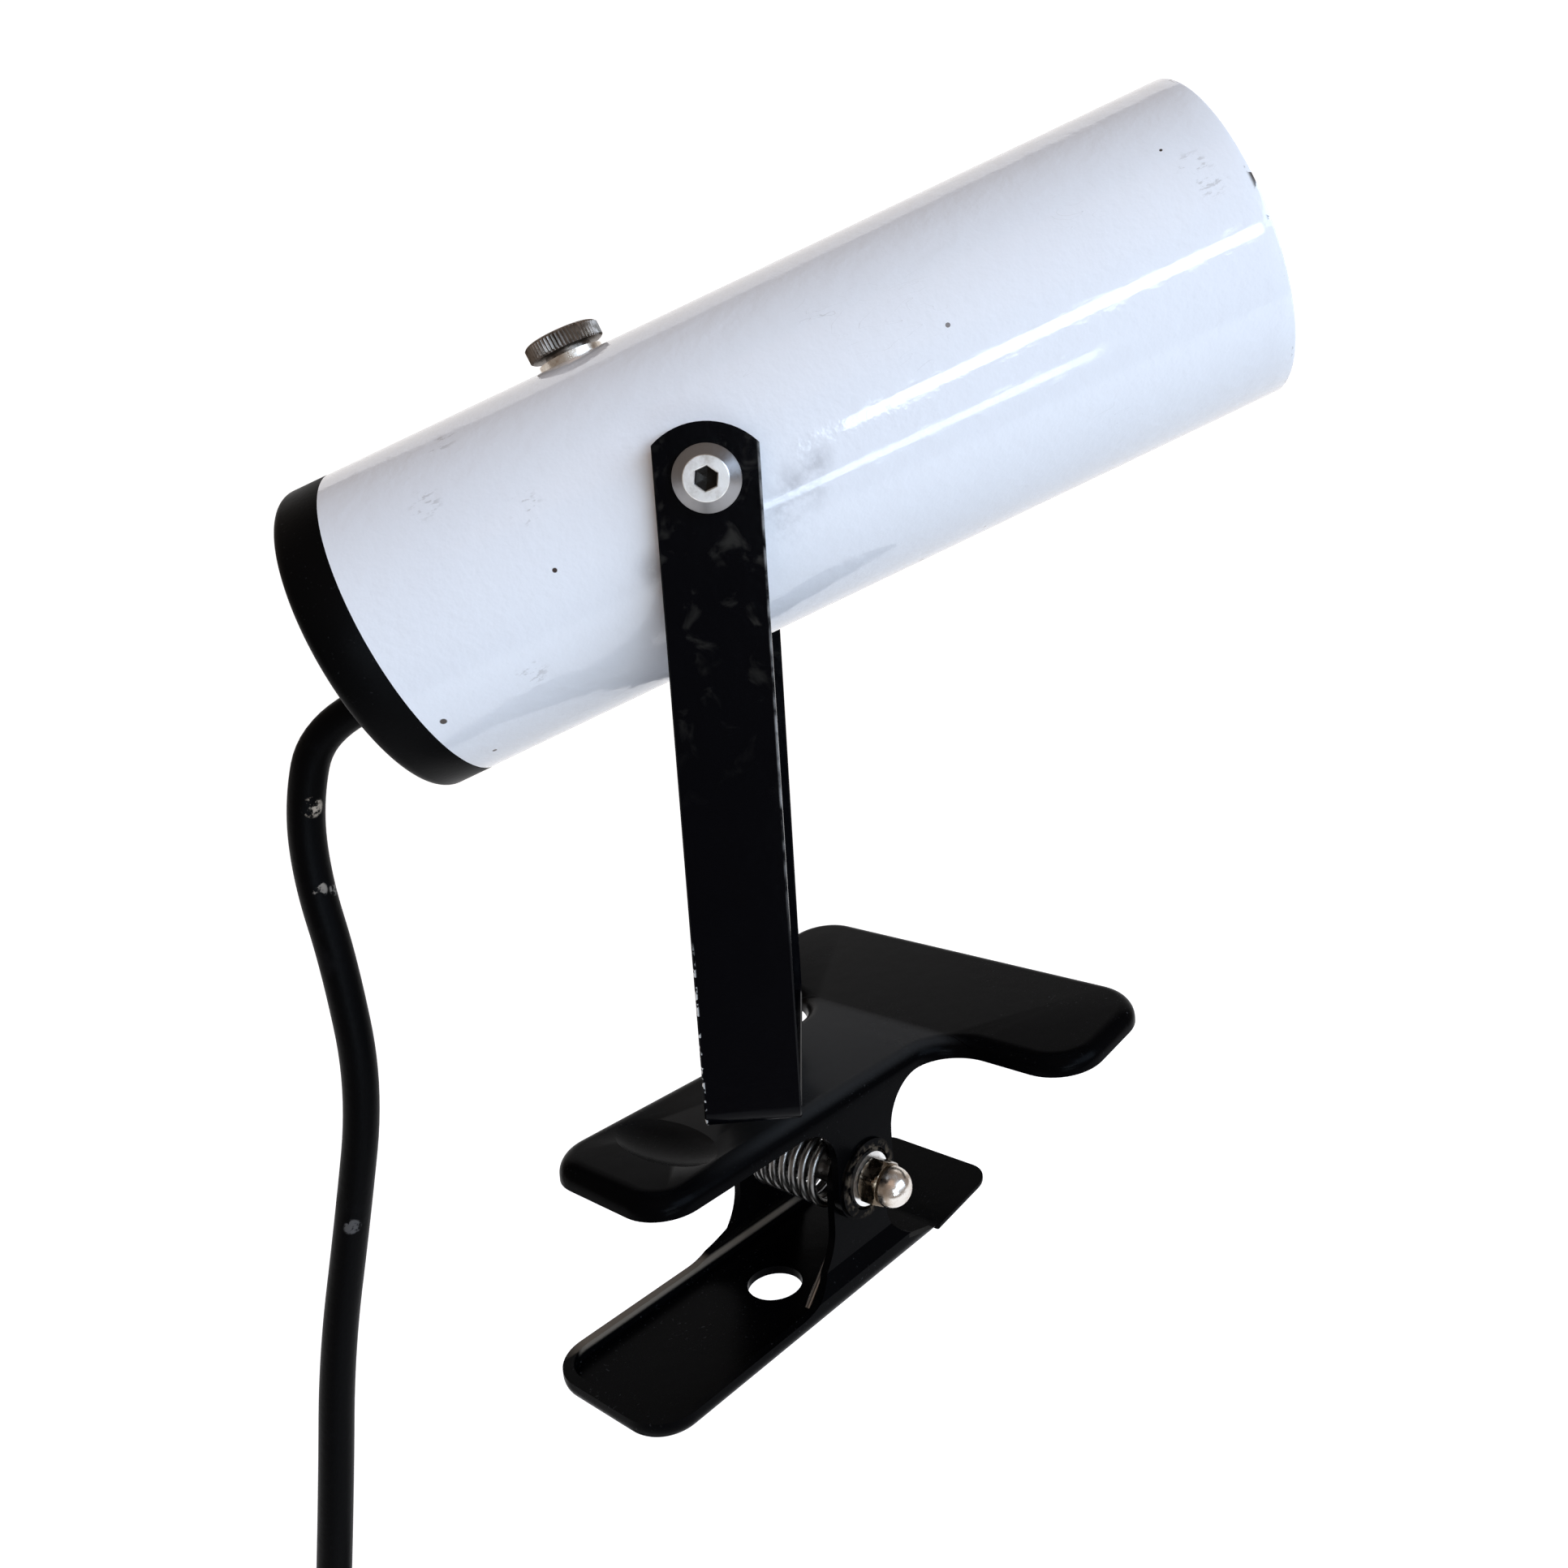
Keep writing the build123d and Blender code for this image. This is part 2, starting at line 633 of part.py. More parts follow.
def make_upper_jaw():
    fold = bend_reach + lip * math.tan(tilt / 2)
    grip_flat = grip_len + lip * math.tan(tilt / 2)
    plan = Pos((fold - handle_reach) / 2, 0) * Rectangle(fold + handle_reach, 2 * stem_half)
    plan += Pos(fold + grip_flat / 2, 0) * Rectangle(grip_flat, 2 * grip_half)
    plan = fillet([v for v in plan.vertices() if v.X < 0], handle_round)
    plan = fillet([v for v in plan.vertices() if abs(v.Y) > grip_half - 1], grip_round)
    plan = fillet([v for v in plan.vertices() if abs(v.Y + stem_half) < 0.01 and v.X > 0], crook_round)
    plan = fillet([v for v in plan.vertices() if abs(v.Y - stem_half) < 0.01 and v.X > fold - 1], far_crook_round)
    flat = pressed(plan, lip)
    flat -= Pos(0, 0, -sheet) * extrude(offset(plan, -sheet), -lip)
    behind = Pos(fold - 100, 0, 0) * Box(200, 4 * grip_half, 4 * lip)
    tipped = Pos(fold, 0, -lip) * Rot(0, -grip_tilt, 0) * Pos(-fold, 0, lip)
    shell = (flat & behind) + tipped * (flat - behind)
    side_view = ear(ear_half, ear_sweep, ear_sweep, bolt_drop, lip)
    side_plane = Plane(origin=(0, 0, 0), x_dir=(1, 0, 0), z_dir=(0, -1, 0))
    for side in (-1, 1):
        low = side * ear_out if side < 0 else ear_in
        shell += Pos(0, low + sheet, 0) * extrude(side_plane * side_view, sheet)
        ring = Rot(90, 0, 0) * (Cylinder(boss_r, boss_h + 0.5) - Cylinder(boss_r - boss_w, boss_h + 2))
        ring = Pos(bolt_x, side * (ear_out + boss_h / 2 - 0.25), -bolt_drop) * ring
        shell += ring
    bolt_hole = Pos(bolt_x, 0, -bolt_drop) * Rot(90, 0, 0) * Cylinder(m6_r + running, 3 * ear_out)
    swivel_hole = Cylinder(m6_r + running, 4 * sheet)
    under = Pos(dimple_x, 0, -sheet - lip / 2) * Box(2 * dimple_len, 2 * ear_in - seat, lip + 1)
    shell += dish(sheet / 2, sheet) & under
    return shell - bolt_hole - swivel_hole - dish(0, 0)


def make_lower_jaw():
    length = handle_reach + lower_extra + tongue_bend
    plan = Pos((tongue_bend - handle_reach - lower_extra) / 2, 0) * Rectangle(length, 2 * stem_half)
    plan = fillet([v for v in plan.vertices() if v.X < 0], handle_round)
    tray = pressed(plan, lip, hold=lambda e: e.center().X > tongue_bend - 0.5)
    hollow_plan = Pos(sheet, 0) * Rectangle(length - sheet + 1, 2 * ear_in)
    hollow_plan = Pos((tongue_bend - handle_reach - lower_extra) / 2, 0) * hollow_plan
    hollow_plan = fillet([v for v in hollow_plan.vertices() if v.X < 0], handle_round - sheet)
    tray -= Pos(0, 0, -sheet) * extrude(hollow_plan, -lip)
    tray = Rot(180, 0, 0) * tray
    rise = jaw_spacing - bolt_drop
    side_view = ear(inner_ear_half, inner_rear_sweep, inner_front_sweep, rise, lip)
    side_plane = Plane(origin=(0, 0, 0), x_dir=(1, 0, 0), z_dir=(0, -1, 0))
    blank = Pos(0, stem_half + 1, 0) * extrude(side_plane * side_view, 2 * stem_half + 2)
    blank = Rot(180, 0, 0) * blank
    step_low = lip + 1.2
    step_high = step_low + 4.0
    top = rise + inner_ear_half + 1
    for side in (-1, 1):
        profile = make_face(Polyline(
            (side * ear_out, edge_round), (side * ear_out, step_low), (side * inner_ear_out, step_high),
            (side * inner_ear_out, top), (side * inner_ear_in, top), (side * inner_ear_in, step_high),
            (side * ear_in, step_low), (side * ear_in, edge_round), close=True,
        ))
        wall = Pos(tongue_bend, 0, 0) * extrude(Plane.YZ * profile, -handle_reach - tongue_bend)
        tray += wall & blank
    fade = Plane.XZ * make_face(Polyline(
        (lip_fade_from, lip), (lip_fade_to, sheet), (lip_fade_to, lip + 1), (lip_fade_from, lip + 1), close=True,
    ))
    fade = extrude(fade, stem_half + 1, both=True)
    fade += Pos((lip_fade_to + tongue_bend) / 2, 0, sheet + lip / 2) * Box(tongue_bend - lip_fade_to + 1, 2 * stem_half + 2, lip)
    tray -= fade
    tongue_len = (tongue_reach - tongue_bend) / math.cos(tilt)
    tongue_plan = Pos(tongue_len / 2, 0) * Rectangle(tongue_len, 2 * stem_half)
    tongue_plan = fillet([v for v in tongue_plan.vertices() if v.X > 1], tongue_round)
    tongue = pressed(tongue_plan, sheet, hold=lambda e: e.center().X < 0.1, round_by=tongue_edge)
    tray += Pos(tongue_bend, 0, 0) * Rot(0, -grip_tilt, 0) * Rot(180, 0, 0) * tongue
    bolt_hole = Pos(bolt_x, 0, rise) * Rot(90, 0, 0) * Cylinder(m6_r + running, 3 * ear_out)
    access = Cylinder(access_r, 4 * sheet)
    return Pos(0, 0, lower_z) * (tray - bolt_hole - access)


# Clamp bolt, washers, domed nut and the sleeve that the spring sits on
def across_bolt(shape):
    """Stand a shape made along +Z on the bolt axis, pointing to -Y."""
    return Pos(bolt_x, 0, -bolt_drop) * Rot(90, 0, 0) * shape


def make_clamp_bolt():
    far = -(ear_out + bolt_washer_t + 0.4)
    near = ear_out + bolt_washer_t + 0.6 + cap_nut_hex_t + 1
    top = Pos(0, 0, far - bolt_head_t) * hexagon(m6_hex, bolt_head_t)
    rounder = Pos(0, 0, far + 4.0) * Sphere(9.4)
    shank = Pos(0, 0, far) * Cylinder(m6_r, near - far, align=(Align.CENTER, Align.CENTER, Align.MIN))
    return across_bolt((top & rounder) + shank)


def make_bolt_washers():
    rings = []
    for low in (-ear_out - bolt_washer_t - 0.2, ear_out + 0.2):
        ring = Pos(0, 0, low) * Cylinder(bolt_washer_r, bolt_washer_t, align=(Align.CENTER, Align.CENTER, Align.MIN))
        rings.append(across_bolt(ring - Cylinder(m6_r + 0.1, 6 * ear_out)))
    return Compound(children=rings)


def make_cap_nut():
    low = ear_out + bolt_washer_t + 0.4
    block = Pos(0, 0, low) * hexagon(m6_hex, cap_nut_hex_t)
    rounder = Pos(0, 0, low + cap_nut_hex_t - 6.0) * Sphere(7.9)
    block = block & (rounder + Pos(0, 0, low) * Cylinder(6.0, cap_nut_hex_t - 1.2, align=(Align.CENTER, Align.CENTER, Align.MIN)))
    stem = Pos(0, 0, low) * Cylinder(cap_nut_dome_r, cap_nut_h - cap_nut_dome_r, align=(Align.CENTER, Align.CENTER, Align.MIN))
    dome = Pos(0, 0, low + cap_nut_h - cap_nut_dome_r) * Sphere(cap_nut_dome_r)
    thread = Pos(0, 0, low - 1) * Cylinder(m6_r + 0.02, cap_nut_hex_t + 3, align=(Align.CENTER, Align.CENTER, Align.MIN))
    return across_bolt(block + stem + dome - thread)


def make_sleeve():
    length = 2 * (inner_ear_in - seat)
    return across_bolt(Cylinder(sleeve_r, length) - Cylinder(m6_r + 0.1, length + 2))


# Torsion spring: open coils round the sleeve and two legs that push the handles apart
def leg_angle(drop, leg):
    """Angle at which a straight leg leaves the coil to end at a given distance from its axis."""
    angle = math.radians(20)
    for _ in range(40):
        miss = spring_r * math.cos(angle) + leg * math.sin(angle) - drop
        angle -= miss / (leg * math.cos(angle) - spring_r * math.sin(angle))
    return angle


def make_spring():
    upper = leg_angle(bolt_drop - sheet - wire_r - seat, upper_leg)
    lower = leg_angle(jaw_spacing - sheet - bolt_drop - wire_r - seat, lower_leg)
    first = -(math.pi / 2 - lower)
    last = math.pi / 2 - upper + 2 * math.pi * spring_turns

    def place_at(part):
        turn = first + (last - first) * part
        return Vector(
            bolt_x + spring_r * math.cos(turn),
            -spring_half + 2 * spring_half * part,
            -bolt_drop + spring_r * math.sin(turn),
        )

    turns = (last - first) / (2 * math.pi)
    path, points, headings = wound(place_at, 2 * spring_turns + 1, lower_leg, upper_leg)
    bar = tube_along(path, wire_r)
    print("spring turns", round(turns, 2), "least gap", round(least_gap(place_at, wire_r, turns, 900), 2))
    print("spring volume ratio", round(bar.volume / (path.length * math.pi * wire_r ** 2), 4))
    return bar


# Cord: the hanging run, the stored coil with its tie, the tail and the plug
def coil_radius(turn):
    """Radius in the winding: it falls and rises steadily, layer by layer."""
    span = turns_per_layer * coil_pitch
    phase = (turn / turns_per_layer) % 2
    share = phase if phase <= 1 else 2 - phase
    return coil_mean_r + span / 2 - span * share


def coil_aside(turn):
    """Sideways place in the winding: each climb takes the half turn round a reversal."""
    level = 0.0
    for i in range(1, coil_layers):
        from_turn = i * turns_per_layer - 0.25
        share = min(1.0, max(0.0, (turn - from_turn) / 0.5))
        level += (1 - math.cos(math.pi * share)) / 2
    return coil_side + coil_pitch * level


def coil_at(part):
    turns = coil_layers * turns_per_layer
    turn = part * turns
    angle = math.pi + 2 * math.pi * turn
    radius = coil_radius(turn)
    centre_x = coil_left + coil_mean_r + turns_per_layer * coil_pitch / 2
    return Vector(
        centre_x + radius * math.cos(angle),
        coil_aside(turn),
        coil_top - coil_lead + radius * math.sin(angle),
    )


def make_coil():
    turns = coil_layers * turns_per_layer
    path, points, headings = wound(coil_at, int(4 * turns), coil_lead, coil_lead)
    bar = tube_along(path, cord_d / 2)
    print("coil turns", turns, "least gap", round(least_gap(coil_at, cord_d / 2, turns, 1400), 2))
    print("coil volume ratio", round(bar.volume / (path.length * math.pi * cord_d ** 2 / 4), 4))
    start = points[0] - headings[0] * coil_lead
    end = points[-1] + headings[-1] * coil_lead
    return bar, path.length, start, end, headings


def make_tie():
    span = turns_per_layer * coil_pitch + cord_d + 2 * tie_gap
    deep = (coil_layers - 1) * coil_pitch + cord_d + 2 * tie_gap
    centre_x = coil_left + coil_mean_r + turns_per_layer * coil_pitch / 2
    inner = extrude(RectangleRounded(span, deep, 3.5), tie_w / 2, both=True)
    outer = extrude(RectangleRounded(span + 2 * tie_t, deep + 2 * tie_t, 3.5 + tie_t), tie_w / 2, both=True)
    middle = coil_side + (coil_layers - 1) * coil_pitch / 2
    return Pos(centre_x + coil_mean_r, middle, coil_top - coil_lead) * (outer - inner)


def make_plug(spot, aim):
    """Round two-pin plug whose neck takes the cord's end."""
    place = Plane(origin=spot, x_dir=(0, 1, 0), z_dir=aim)
    neck = Pos(0, 0, 0) * Circle(plug_neck_r - 1)
    grip = Pos(0, 0, plug_grip_len) * Circle(plug_neck_r)
    shoulder = Pos(0, 0, plug_grip_len + 10) * Ellipse(plug_w * 0.42, plug_h * 0.42)
    face = Pos(0, 0, plug_len) * Ellipse(plug_w / 2, plug_h / 2)
    front = Pos(0, 0, plug_len - 9) * Ellipse(plug_w / 2, plug_h / 2)
    body = loft([neck, grip], ruled=True) + loft([grip, shoulder, front], ruled=True) + loft([front, face], ruled=True)
    pins = []
    for side in (-1, 1):
        bar = Pos(side * pin_spacing / 2, 0, plug_len) * Cylinder(pin_r, pin_len, align=(Align.CENTER, Align.CENTER, Align.MIN))
        tip = bar.edges().group_by(Axis.Z)[-1]
        pins.append(fillet(tip, 1.4))
    return place.location * body, place.location * Compound(children=pins)


os.makedirs("parts", exist_ok=True)

save("tube_shade", make_tube(), head)
save("rear_cap", make_cap(), head)
save("cord_gland", make_gland(), head)
save("cord_stub", make_cord_stub(), head)
save("core_wires", make_cores(), head)
save("lampholder_body", make_holder(), head)
save("screw_shell", make_screw_shell(), head)
save("centre_contact", make_contact(), head)
save("holder_bracket", make_bracket(), head)
save("bracket_nut", make_bracket_nut(), head)
save("holder_nipple", make_nipple(), head)
save("nipple_nut", make_nipple_nut(), head)
bulb_parts = make_bulb()
save("bulb_glass", bulb_parts[0], head)
save("bulb_cap", bulb_parts[1], head)
save("bulb_tip", bulb_parts[2], head)
save("thumb_screw", make_thumb_screw(), head)
save("thumb_washer", make_thumb_washer(), head)
for side, word in ((-1, "near"), (1, "far")):
    save(f"pivot_screw_{word}", make_pivot_screw(side), head)
    save(f"pivot_spacer_{word}", make_pivot_spacer(side), head)
    save(f"pivot_nut_{word}", make_pivot_nut(side), head)

save("yoke_strap", make_yoke(), yoke)
save("swivel_screw", make_swivel_screw(), jaw)
save("swivel_spacer", make_swivel_spacer(), jaw)
save("swivel_nut", make_swivel_nut(), jaw)

save("upper_jaw", make_upper_jaw(), jaw)
save("lower_jaw", make_lower_jaw(), jaw)
save("clamp_bolt", make_clamp_bolt(), jaw)
save("bolt_washers", make_bolt_washers(), jaw)
save("cap_nut", make_cap_nut(), jaw)
save("spring_sleeve", make_sleeve(), jaw)
save("torsion_spring", make_spring(), jaw)

tilt_axis = Pos(0, 0, pivot_height) * Rot(0, -head_pitch, 0)
gland_tip = tilt_axis * Pos(-tube_rear - cap_depth - gland_out, 0, -exit_drop)
coil_bar, coil_len, coil_start, coil_end, coil_headings = make_coil()
start = gland_tip.position
gland_run = (gland_tip * Pos(-exit_run, 0, 0)).position
into_coil = coil_start - coil_headings[0] * coil_run
route = [start, gland_run] + [Vector(*p) for p in cord_path] + [into_coil, coil_start]
run_path, run_radii = rounded_route([tuple(p) for p in route])
run_bar = tube_along(run_path, cord_d / 2)
from_coil = coil_end + coil_headings[-1] * tail_run
tail = [coil_end, from_coil, Vector(*tail_bend), Vector(*tail_end)]
tail_wire, tail_radii = rounded_route([tuple(p) for p in tail])
tail_bar = tube_along(tail_wire, cord_d / 2)
print("run points", [tuple(round(c, 1) for c in p) for p in route])
print("run radii", [round(r, 1) for r in run_radii], "tail radii", [round(r, 1) for r in tail_radii])
for name, bar, path in (("run", run_bar, run_path), ("tail", tail_bar, tail_wire)):
    print(name, "length", round(path.length, 1), "volume ratio",
          round(bar.volume / (path.length * math.pi * cord_d ** 2 / 4), 4))
print("cord length", round(run_path.length + coil_len + tail_wire.length, 1))
save("cord_run", run_bar, yoke)
save("cord_coil", coil_bar, yoke)
save("cord_tie", make_tie(), yoke)
save("cord_tail", tail_bar, yoke)
plug_body, plug_pins = make_plug(tail[-1], (tail[-1] - tail[-2]).normalized())
save("plug_body", plug_body, yoke)
save("plug_pins", plug_pins, yoke)
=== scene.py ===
"""Clamp spotlight: a white tube shade on a black strap yoke, turning on a sprung sheet clamp.

Shapes are worked out in millimetres in the frame of the piece that carries them, and put in
place in metres.  The whole lamp's frame has +X towards the clamp's mouth and +Z up.
"""

import bmesh
import bpy
import numpy as np
from mathutils import Matrix, Vector


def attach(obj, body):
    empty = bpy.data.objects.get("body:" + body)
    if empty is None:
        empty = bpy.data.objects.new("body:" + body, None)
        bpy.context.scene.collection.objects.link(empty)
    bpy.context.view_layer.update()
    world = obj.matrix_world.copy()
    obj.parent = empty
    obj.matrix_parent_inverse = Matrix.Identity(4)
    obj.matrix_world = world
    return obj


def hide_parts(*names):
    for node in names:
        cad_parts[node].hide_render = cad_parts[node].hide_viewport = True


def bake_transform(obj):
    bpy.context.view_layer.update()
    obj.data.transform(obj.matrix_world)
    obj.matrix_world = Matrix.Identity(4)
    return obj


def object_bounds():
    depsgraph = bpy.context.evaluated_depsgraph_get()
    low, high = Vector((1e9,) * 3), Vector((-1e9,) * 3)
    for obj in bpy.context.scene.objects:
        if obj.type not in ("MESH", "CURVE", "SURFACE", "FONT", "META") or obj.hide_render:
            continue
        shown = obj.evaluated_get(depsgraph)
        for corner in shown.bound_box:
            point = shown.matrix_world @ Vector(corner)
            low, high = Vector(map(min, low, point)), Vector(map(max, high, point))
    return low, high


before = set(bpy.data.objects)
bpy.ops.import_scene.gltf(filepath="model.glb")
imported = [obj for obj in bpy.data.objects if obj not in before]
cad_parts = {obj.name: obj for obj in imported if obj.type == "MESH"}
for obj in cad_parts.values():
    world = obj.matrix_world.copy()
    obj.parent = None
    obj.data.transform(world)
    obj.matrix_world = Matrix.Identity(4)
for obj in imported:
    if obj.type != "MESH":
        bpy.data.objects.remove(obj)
cad_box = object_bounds()

# Camera
# It stands close behind the lamp on its left, a little above the jaws, and looks slightly
# down.  The picture's middle is off the lens's axis, so the lens is shifted.
photo_side = 1932.0
focal_pixels = 1588.99
optical_centre = (1129.47, 855.90)
camera_place = (-0.2658, -0.2044, 0.14129)
camera_right = Vector((0.6027, -0.7969, -0.0424))
camera_up = Vector((0.1638, 0.0716, 0.9839))

camera = bpy.data.objects.new("camera", bpy.data.cameras.new("camera"))
bpy.context.scene.collection.objects.link(camera)
bpy.context.scene.camera = camera
camera.data.sensor_width = 36.0
camera.data.lens = camera.data.sensor_width * focal_pixels / photo_side
camera.data.shift_x = (photo_side / 2 - optical_centre[0]) / photo_side
camera.data.shift_y = (optical_centre[1] - photo_side / 2) / photo_side
camera.data.clip_start = 0.01
camera_right.normalize()
camera_up = (camera_up - camera_right * camera_up.dot(camera_right)).normalized()
camera_back = camera_right.cross(camera_up)
axes = Matrix((camera_right, camera_up, camera_back)).transposed().to_4x4()
camera.matrix_world = Matrix.Translation(camera_place) @ axes

# Placing of the lamp's parts
# The clamp's stem lies level.  The yoke is turned on it, and the shade is tilted nose up
# between the yoke's arms.
MM = 0.001
swivel_x = -66.0
stem_z = -0.516
yoke_turn = -47.85
pivot_height = 141.4
head_pitch = 22.7


def moved(x, y, z):
    return Matrix.Translation((x, y, z))


def turned_about(axis, degrees):
    return Matrix.Rotation(np.radians(degrees), 4, axis)


jaw_place = moved(swivel_x, 0, stem_z)
yoke_place = jaw_place @ turned_about("Z", yoke_turn)
head_place = yoke_place @ moved(0, 0, pivot_height) @ turned_about("Y", -head_pitch)


def in_metres(points, place):
    """Points in a part's own millimetres, as metres in the whole lamp's frame."""
    m = np.array(place)
    return (np.asarray(points, float) @ m[:3, :3].T + m[:3, 3]) * MM


# Cord
# A black rubber-sheathed lead leaves the rear cap below its middle, falls in a lazy S behind
# the clamp, and is put away in a tied coil below, with a two-pin plug on its end.
cord_d = 7.8
exit_drop = 11.0
gland_tip = -90.6
exit_run = 12.0
hang = [
    (-95.4, 0.2, 74.5),
    (-95.2, -0.5, 57.5),
    (-91.6, -1.0, 38.0),
    (-89.2, -1.2, 8.0),
    (-95.6, -1.6, -24.0),
    (-102.2, -3.6, -56.0),
    (-105.0, -6.8, -88.0),
    (-108.4, -10.6, -122.0),
]
coil_run = 32.0
coil_left = -110.9
coil_top = -190.0
coil_side = -13.2
coil_pitch = 8.8
coil_mean_r = 40.2
coil_layers = 4
turns_per_layer = 1.5
coil_lead = 9.0
tail_run = 26.0
tail_bend = (-112.8, 15.2, -258.0)
tail_end = (-112.4, 16.4, -282.0)
points_per_turn = 24


def grid_faces(rows, columns, closed_rows=False, closed_columns=True):
    """Quads that join a grid of points row by row, optionally round either way."""
    r = np.arange(rows if closed_rows else rows - 1)[:, None]
    c = np.arange(columns if closed_columns else columns - 1)[None, :]
    r2, c2 = (r + 1) % rows, (c + 1) % columns
    quads = np.stack([r * columns + c, r * columns + c2, r2 * columns + c2, r2 * columns + c], -1)
    return quads.reshape(-1, 4)


def make_piece(name, points, faces, place, body, nodes, sharp=35.0):
    """Mesh object from points and quads, with closed ends welded, normals outwards and smooth."""
    mesh = bpy.data.meshes.new(name)
    mesh.from_pydata(in_metres(points, place).tolist(), [], np.asarray(faces).tolist())
    work = bmesh.new()
    work.from_mesh(mesh)
    bmesh.ops.remove_doubles(work, verts=work.verts, dist=1e-6)
    bmesh.ops.recalc_face_normals(work, faces=work.faces)
    work.to_mesh(mesh)
    work.free()
    mesh.polygons.foreach_set("use_smooth", np.ones(len(mesh.polygons), bool))
    mesh.set_sharp_from_angle(angle=np.radians(sharp))
    piece = bpy.data.objects.new(name, mesh)
    bpy.context.scene.collection.objects.link(piece)
    if body:
        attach(piece, body)
    if nodes:
        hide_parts(*nodes)
    return piece


def tube_round(points, radius, sides=20, side_way=(0, 1, 0)):
    """Round bar along points: at each, a circle across the path, started from the side way."""
    points = np.asarray(points, float)
    ahead = np.gradient(points, axis=0)
    ahead /= np.linalg.norm(ahead, axis=1)[:, None]
    first = np.asarray(side_way, float) - ahead * (ahead @ np.asarray(side_way, float))[:, None]
    first /= np.linalg.norm(first, axis=1)[:, None]
    second = np.cross(ahead, first)
    angle = np.linspace(0, 2 * np.pi, sides, endpoint=False)
    radius = np.broadcast_to(np.asarray(radius, float), len(points))[:, None, None]
    ring = first[:, None] * np.cos(angle)[:, None] + second[:, None] * np.sin(angle)[:, None]
    body = points[:, None] + radius * ring
    ends = [np.repeat(points[:1], sides, 0), np.repeat(points[-1:], sides, 0)]
    rings = np.concatenate([ends[0][None], body, ends[1][None]])
    return rings.reshape(-1, 3), grid_faces(len(rings), sides)


def coil_points(turn):
    """Points of the winding at each turn: radius falls and rises, layers step sideways."""
    span = turns_per_layer * coil_pitch
    phase = (turn / turns_per_layer) % 2
    inward = np.where(phase <= 1, phase, 2 - phase)
    radius = coil_mean_r + span / 2 - span * inward
    angle = np.pi + 2 * np.pi * turn
    reversals = np.arange(1, coil_layers)[:, None] * turns_per_layer - 0.25
    climb = np.clip((turn - reversals) / 0.5, 0, 1)
    aside = coil_side + coil_pitch * ((1 - np.cos(np.pi * climb)) / 2).sum(0)
    centre_x = coil_left + coil_mean_r + span / 2
    x = centre_x + radius * np.cos(angle)
    z = coil_top - coil_lead + radius * np.sin(angle)
    return np.stack([x, aside, z], -1)


def unit(v):
    return v / np.linalg.norm(v)


head_on_yoke = moved(0, 0, pivot_height) @ turned_about("Y", -head_pitch)
exit_points = [
    head_on_yoke @ Vector((s, 0, -exit_drop)) for s in (gland_tip, gland_tip - exit_run)]
all_turns = coil_layers * turns_per_layer
winding = coil_points(np.linspace(0, all_turns, int(points_per_turn * all_turns) + 1))
edge = coil_points(np.array([0, 1e-4, all_turns - 1e-4, all_turns]))
into, out = unit(edge[1] - edge[0]), unit(edge[3] - edge[2])
coil_start, coil_end = winding[0] - into * coil_lead, winding[-1] + out * coil_lead
route = np.vstack([
    exit_points, hang, coil_start - into * coil_run, winding,
    coil_end + out * tail_run, tail_bend, tail_end,
])

route_curve = bpy.data.curves.new("cord_route", "CURVE")
route_curve.dimensions = "3D"
route_curve.resolution_u = 10
spline = route_curve.splines.new("NURBS")
spline.points.add(len(route) - 1)
route_weighted = np.column_stack([in_metres(route, yoke_place), np.ones(len(route))])
spline.points.foreach_set("co", route_weighted.ravel())
spline.order_u = 3
spline.use_endpoint_u = True
route_object = bpy.data.objects.new("cord_route", route_curve)
line_mesh = bpy.data.meshes.new_from_object(route_object)
line = np.zeros(len(line_mesh.vertices) * 3)
line_mesh.vertices.foreach_get("co", line)
line = line.reshape(-1, 3)
bpy.data.objects.remove(route_object)
bpy.data.meshes.remove(line_mesh)
yoke_side = np.array(yoke_place)[:3, 1]
cord_points, cord_faces = tube_round(line / MM, cord_d / 2, 20, yoke_side)
cord = make_piece("cord", cord_points, cord_faces, Matrix.Identity(4), None,
                  ["cord_run", "cord_coil", "cord_tail"], 60)
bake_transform(cord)


def is_socket(value):
    return isinstance(value, bpy.types.NodeSocket)


def add(kind, inputs, **settings):
    """New shader node beside the sockets it links from; other inputs are plain values."""
    tree = next(value.id_data for value in inputs.values() if is_socket(value))
    node = tree.nodes.new("ShaderNode" + kind)
    for key, value in settings.items():
        setattr(node, key, value)
    for key, value in inputs.items():
        if is_socket(value):
            tree.links.new(value, node.inputs[key])
        else:
            node.inputs[key].default_value = value
    return node


def finish_of(name, colour, roughness, metallic=0.0, **sockets):
    """Material with a plain shader, and the object's own coordinates for its patterns."""
    material = bpy.data.materials.new(name)
    material.use_nodes = True
    material.diffuse_color = (*colour, 1)
    shader = material.node_tree.nodes["Principled BSDF"]
    shader.inputs["Base Color"].default_value = (*colour, 1)
    shader.inputs["Roughness"].default_value = roughness
    shader.inputs["Metallic"].default_value = metallic
    for key, value in sockets.items():
        shader.inputs[key.replace("_", " ")].default_value = value
    own_coords = material.node_tree.nodes.new("ShaderNodeTexCoord").outputs["Object"]
    return material, shader, own_coords


def own_axes(coords, place):
    """The object's coordinates turned into a part's own frame, in metres."""
    spot, turn = Vector(place.translation) * MM, place.to_euler()
    inputs = {"Vector": coords, "Location": spot, "Rotation": turn}
    return add("Mapping", inputs, vector_type="TEXTURE").outputs[0]


def noise(coords, scale, detail=3.0, roughness=0.5, distortion=0.0):
    """Cloudy pattern between 0 and 1, with the given number of features to the metre."""
    inputs = {"Vector": coords, "Scale": scale, "Detail": detail}
    inputs.update({"Roughness": roughness, "Distortion": distortion})
    return add("TexNoise", inputs).outputs["Fac"]


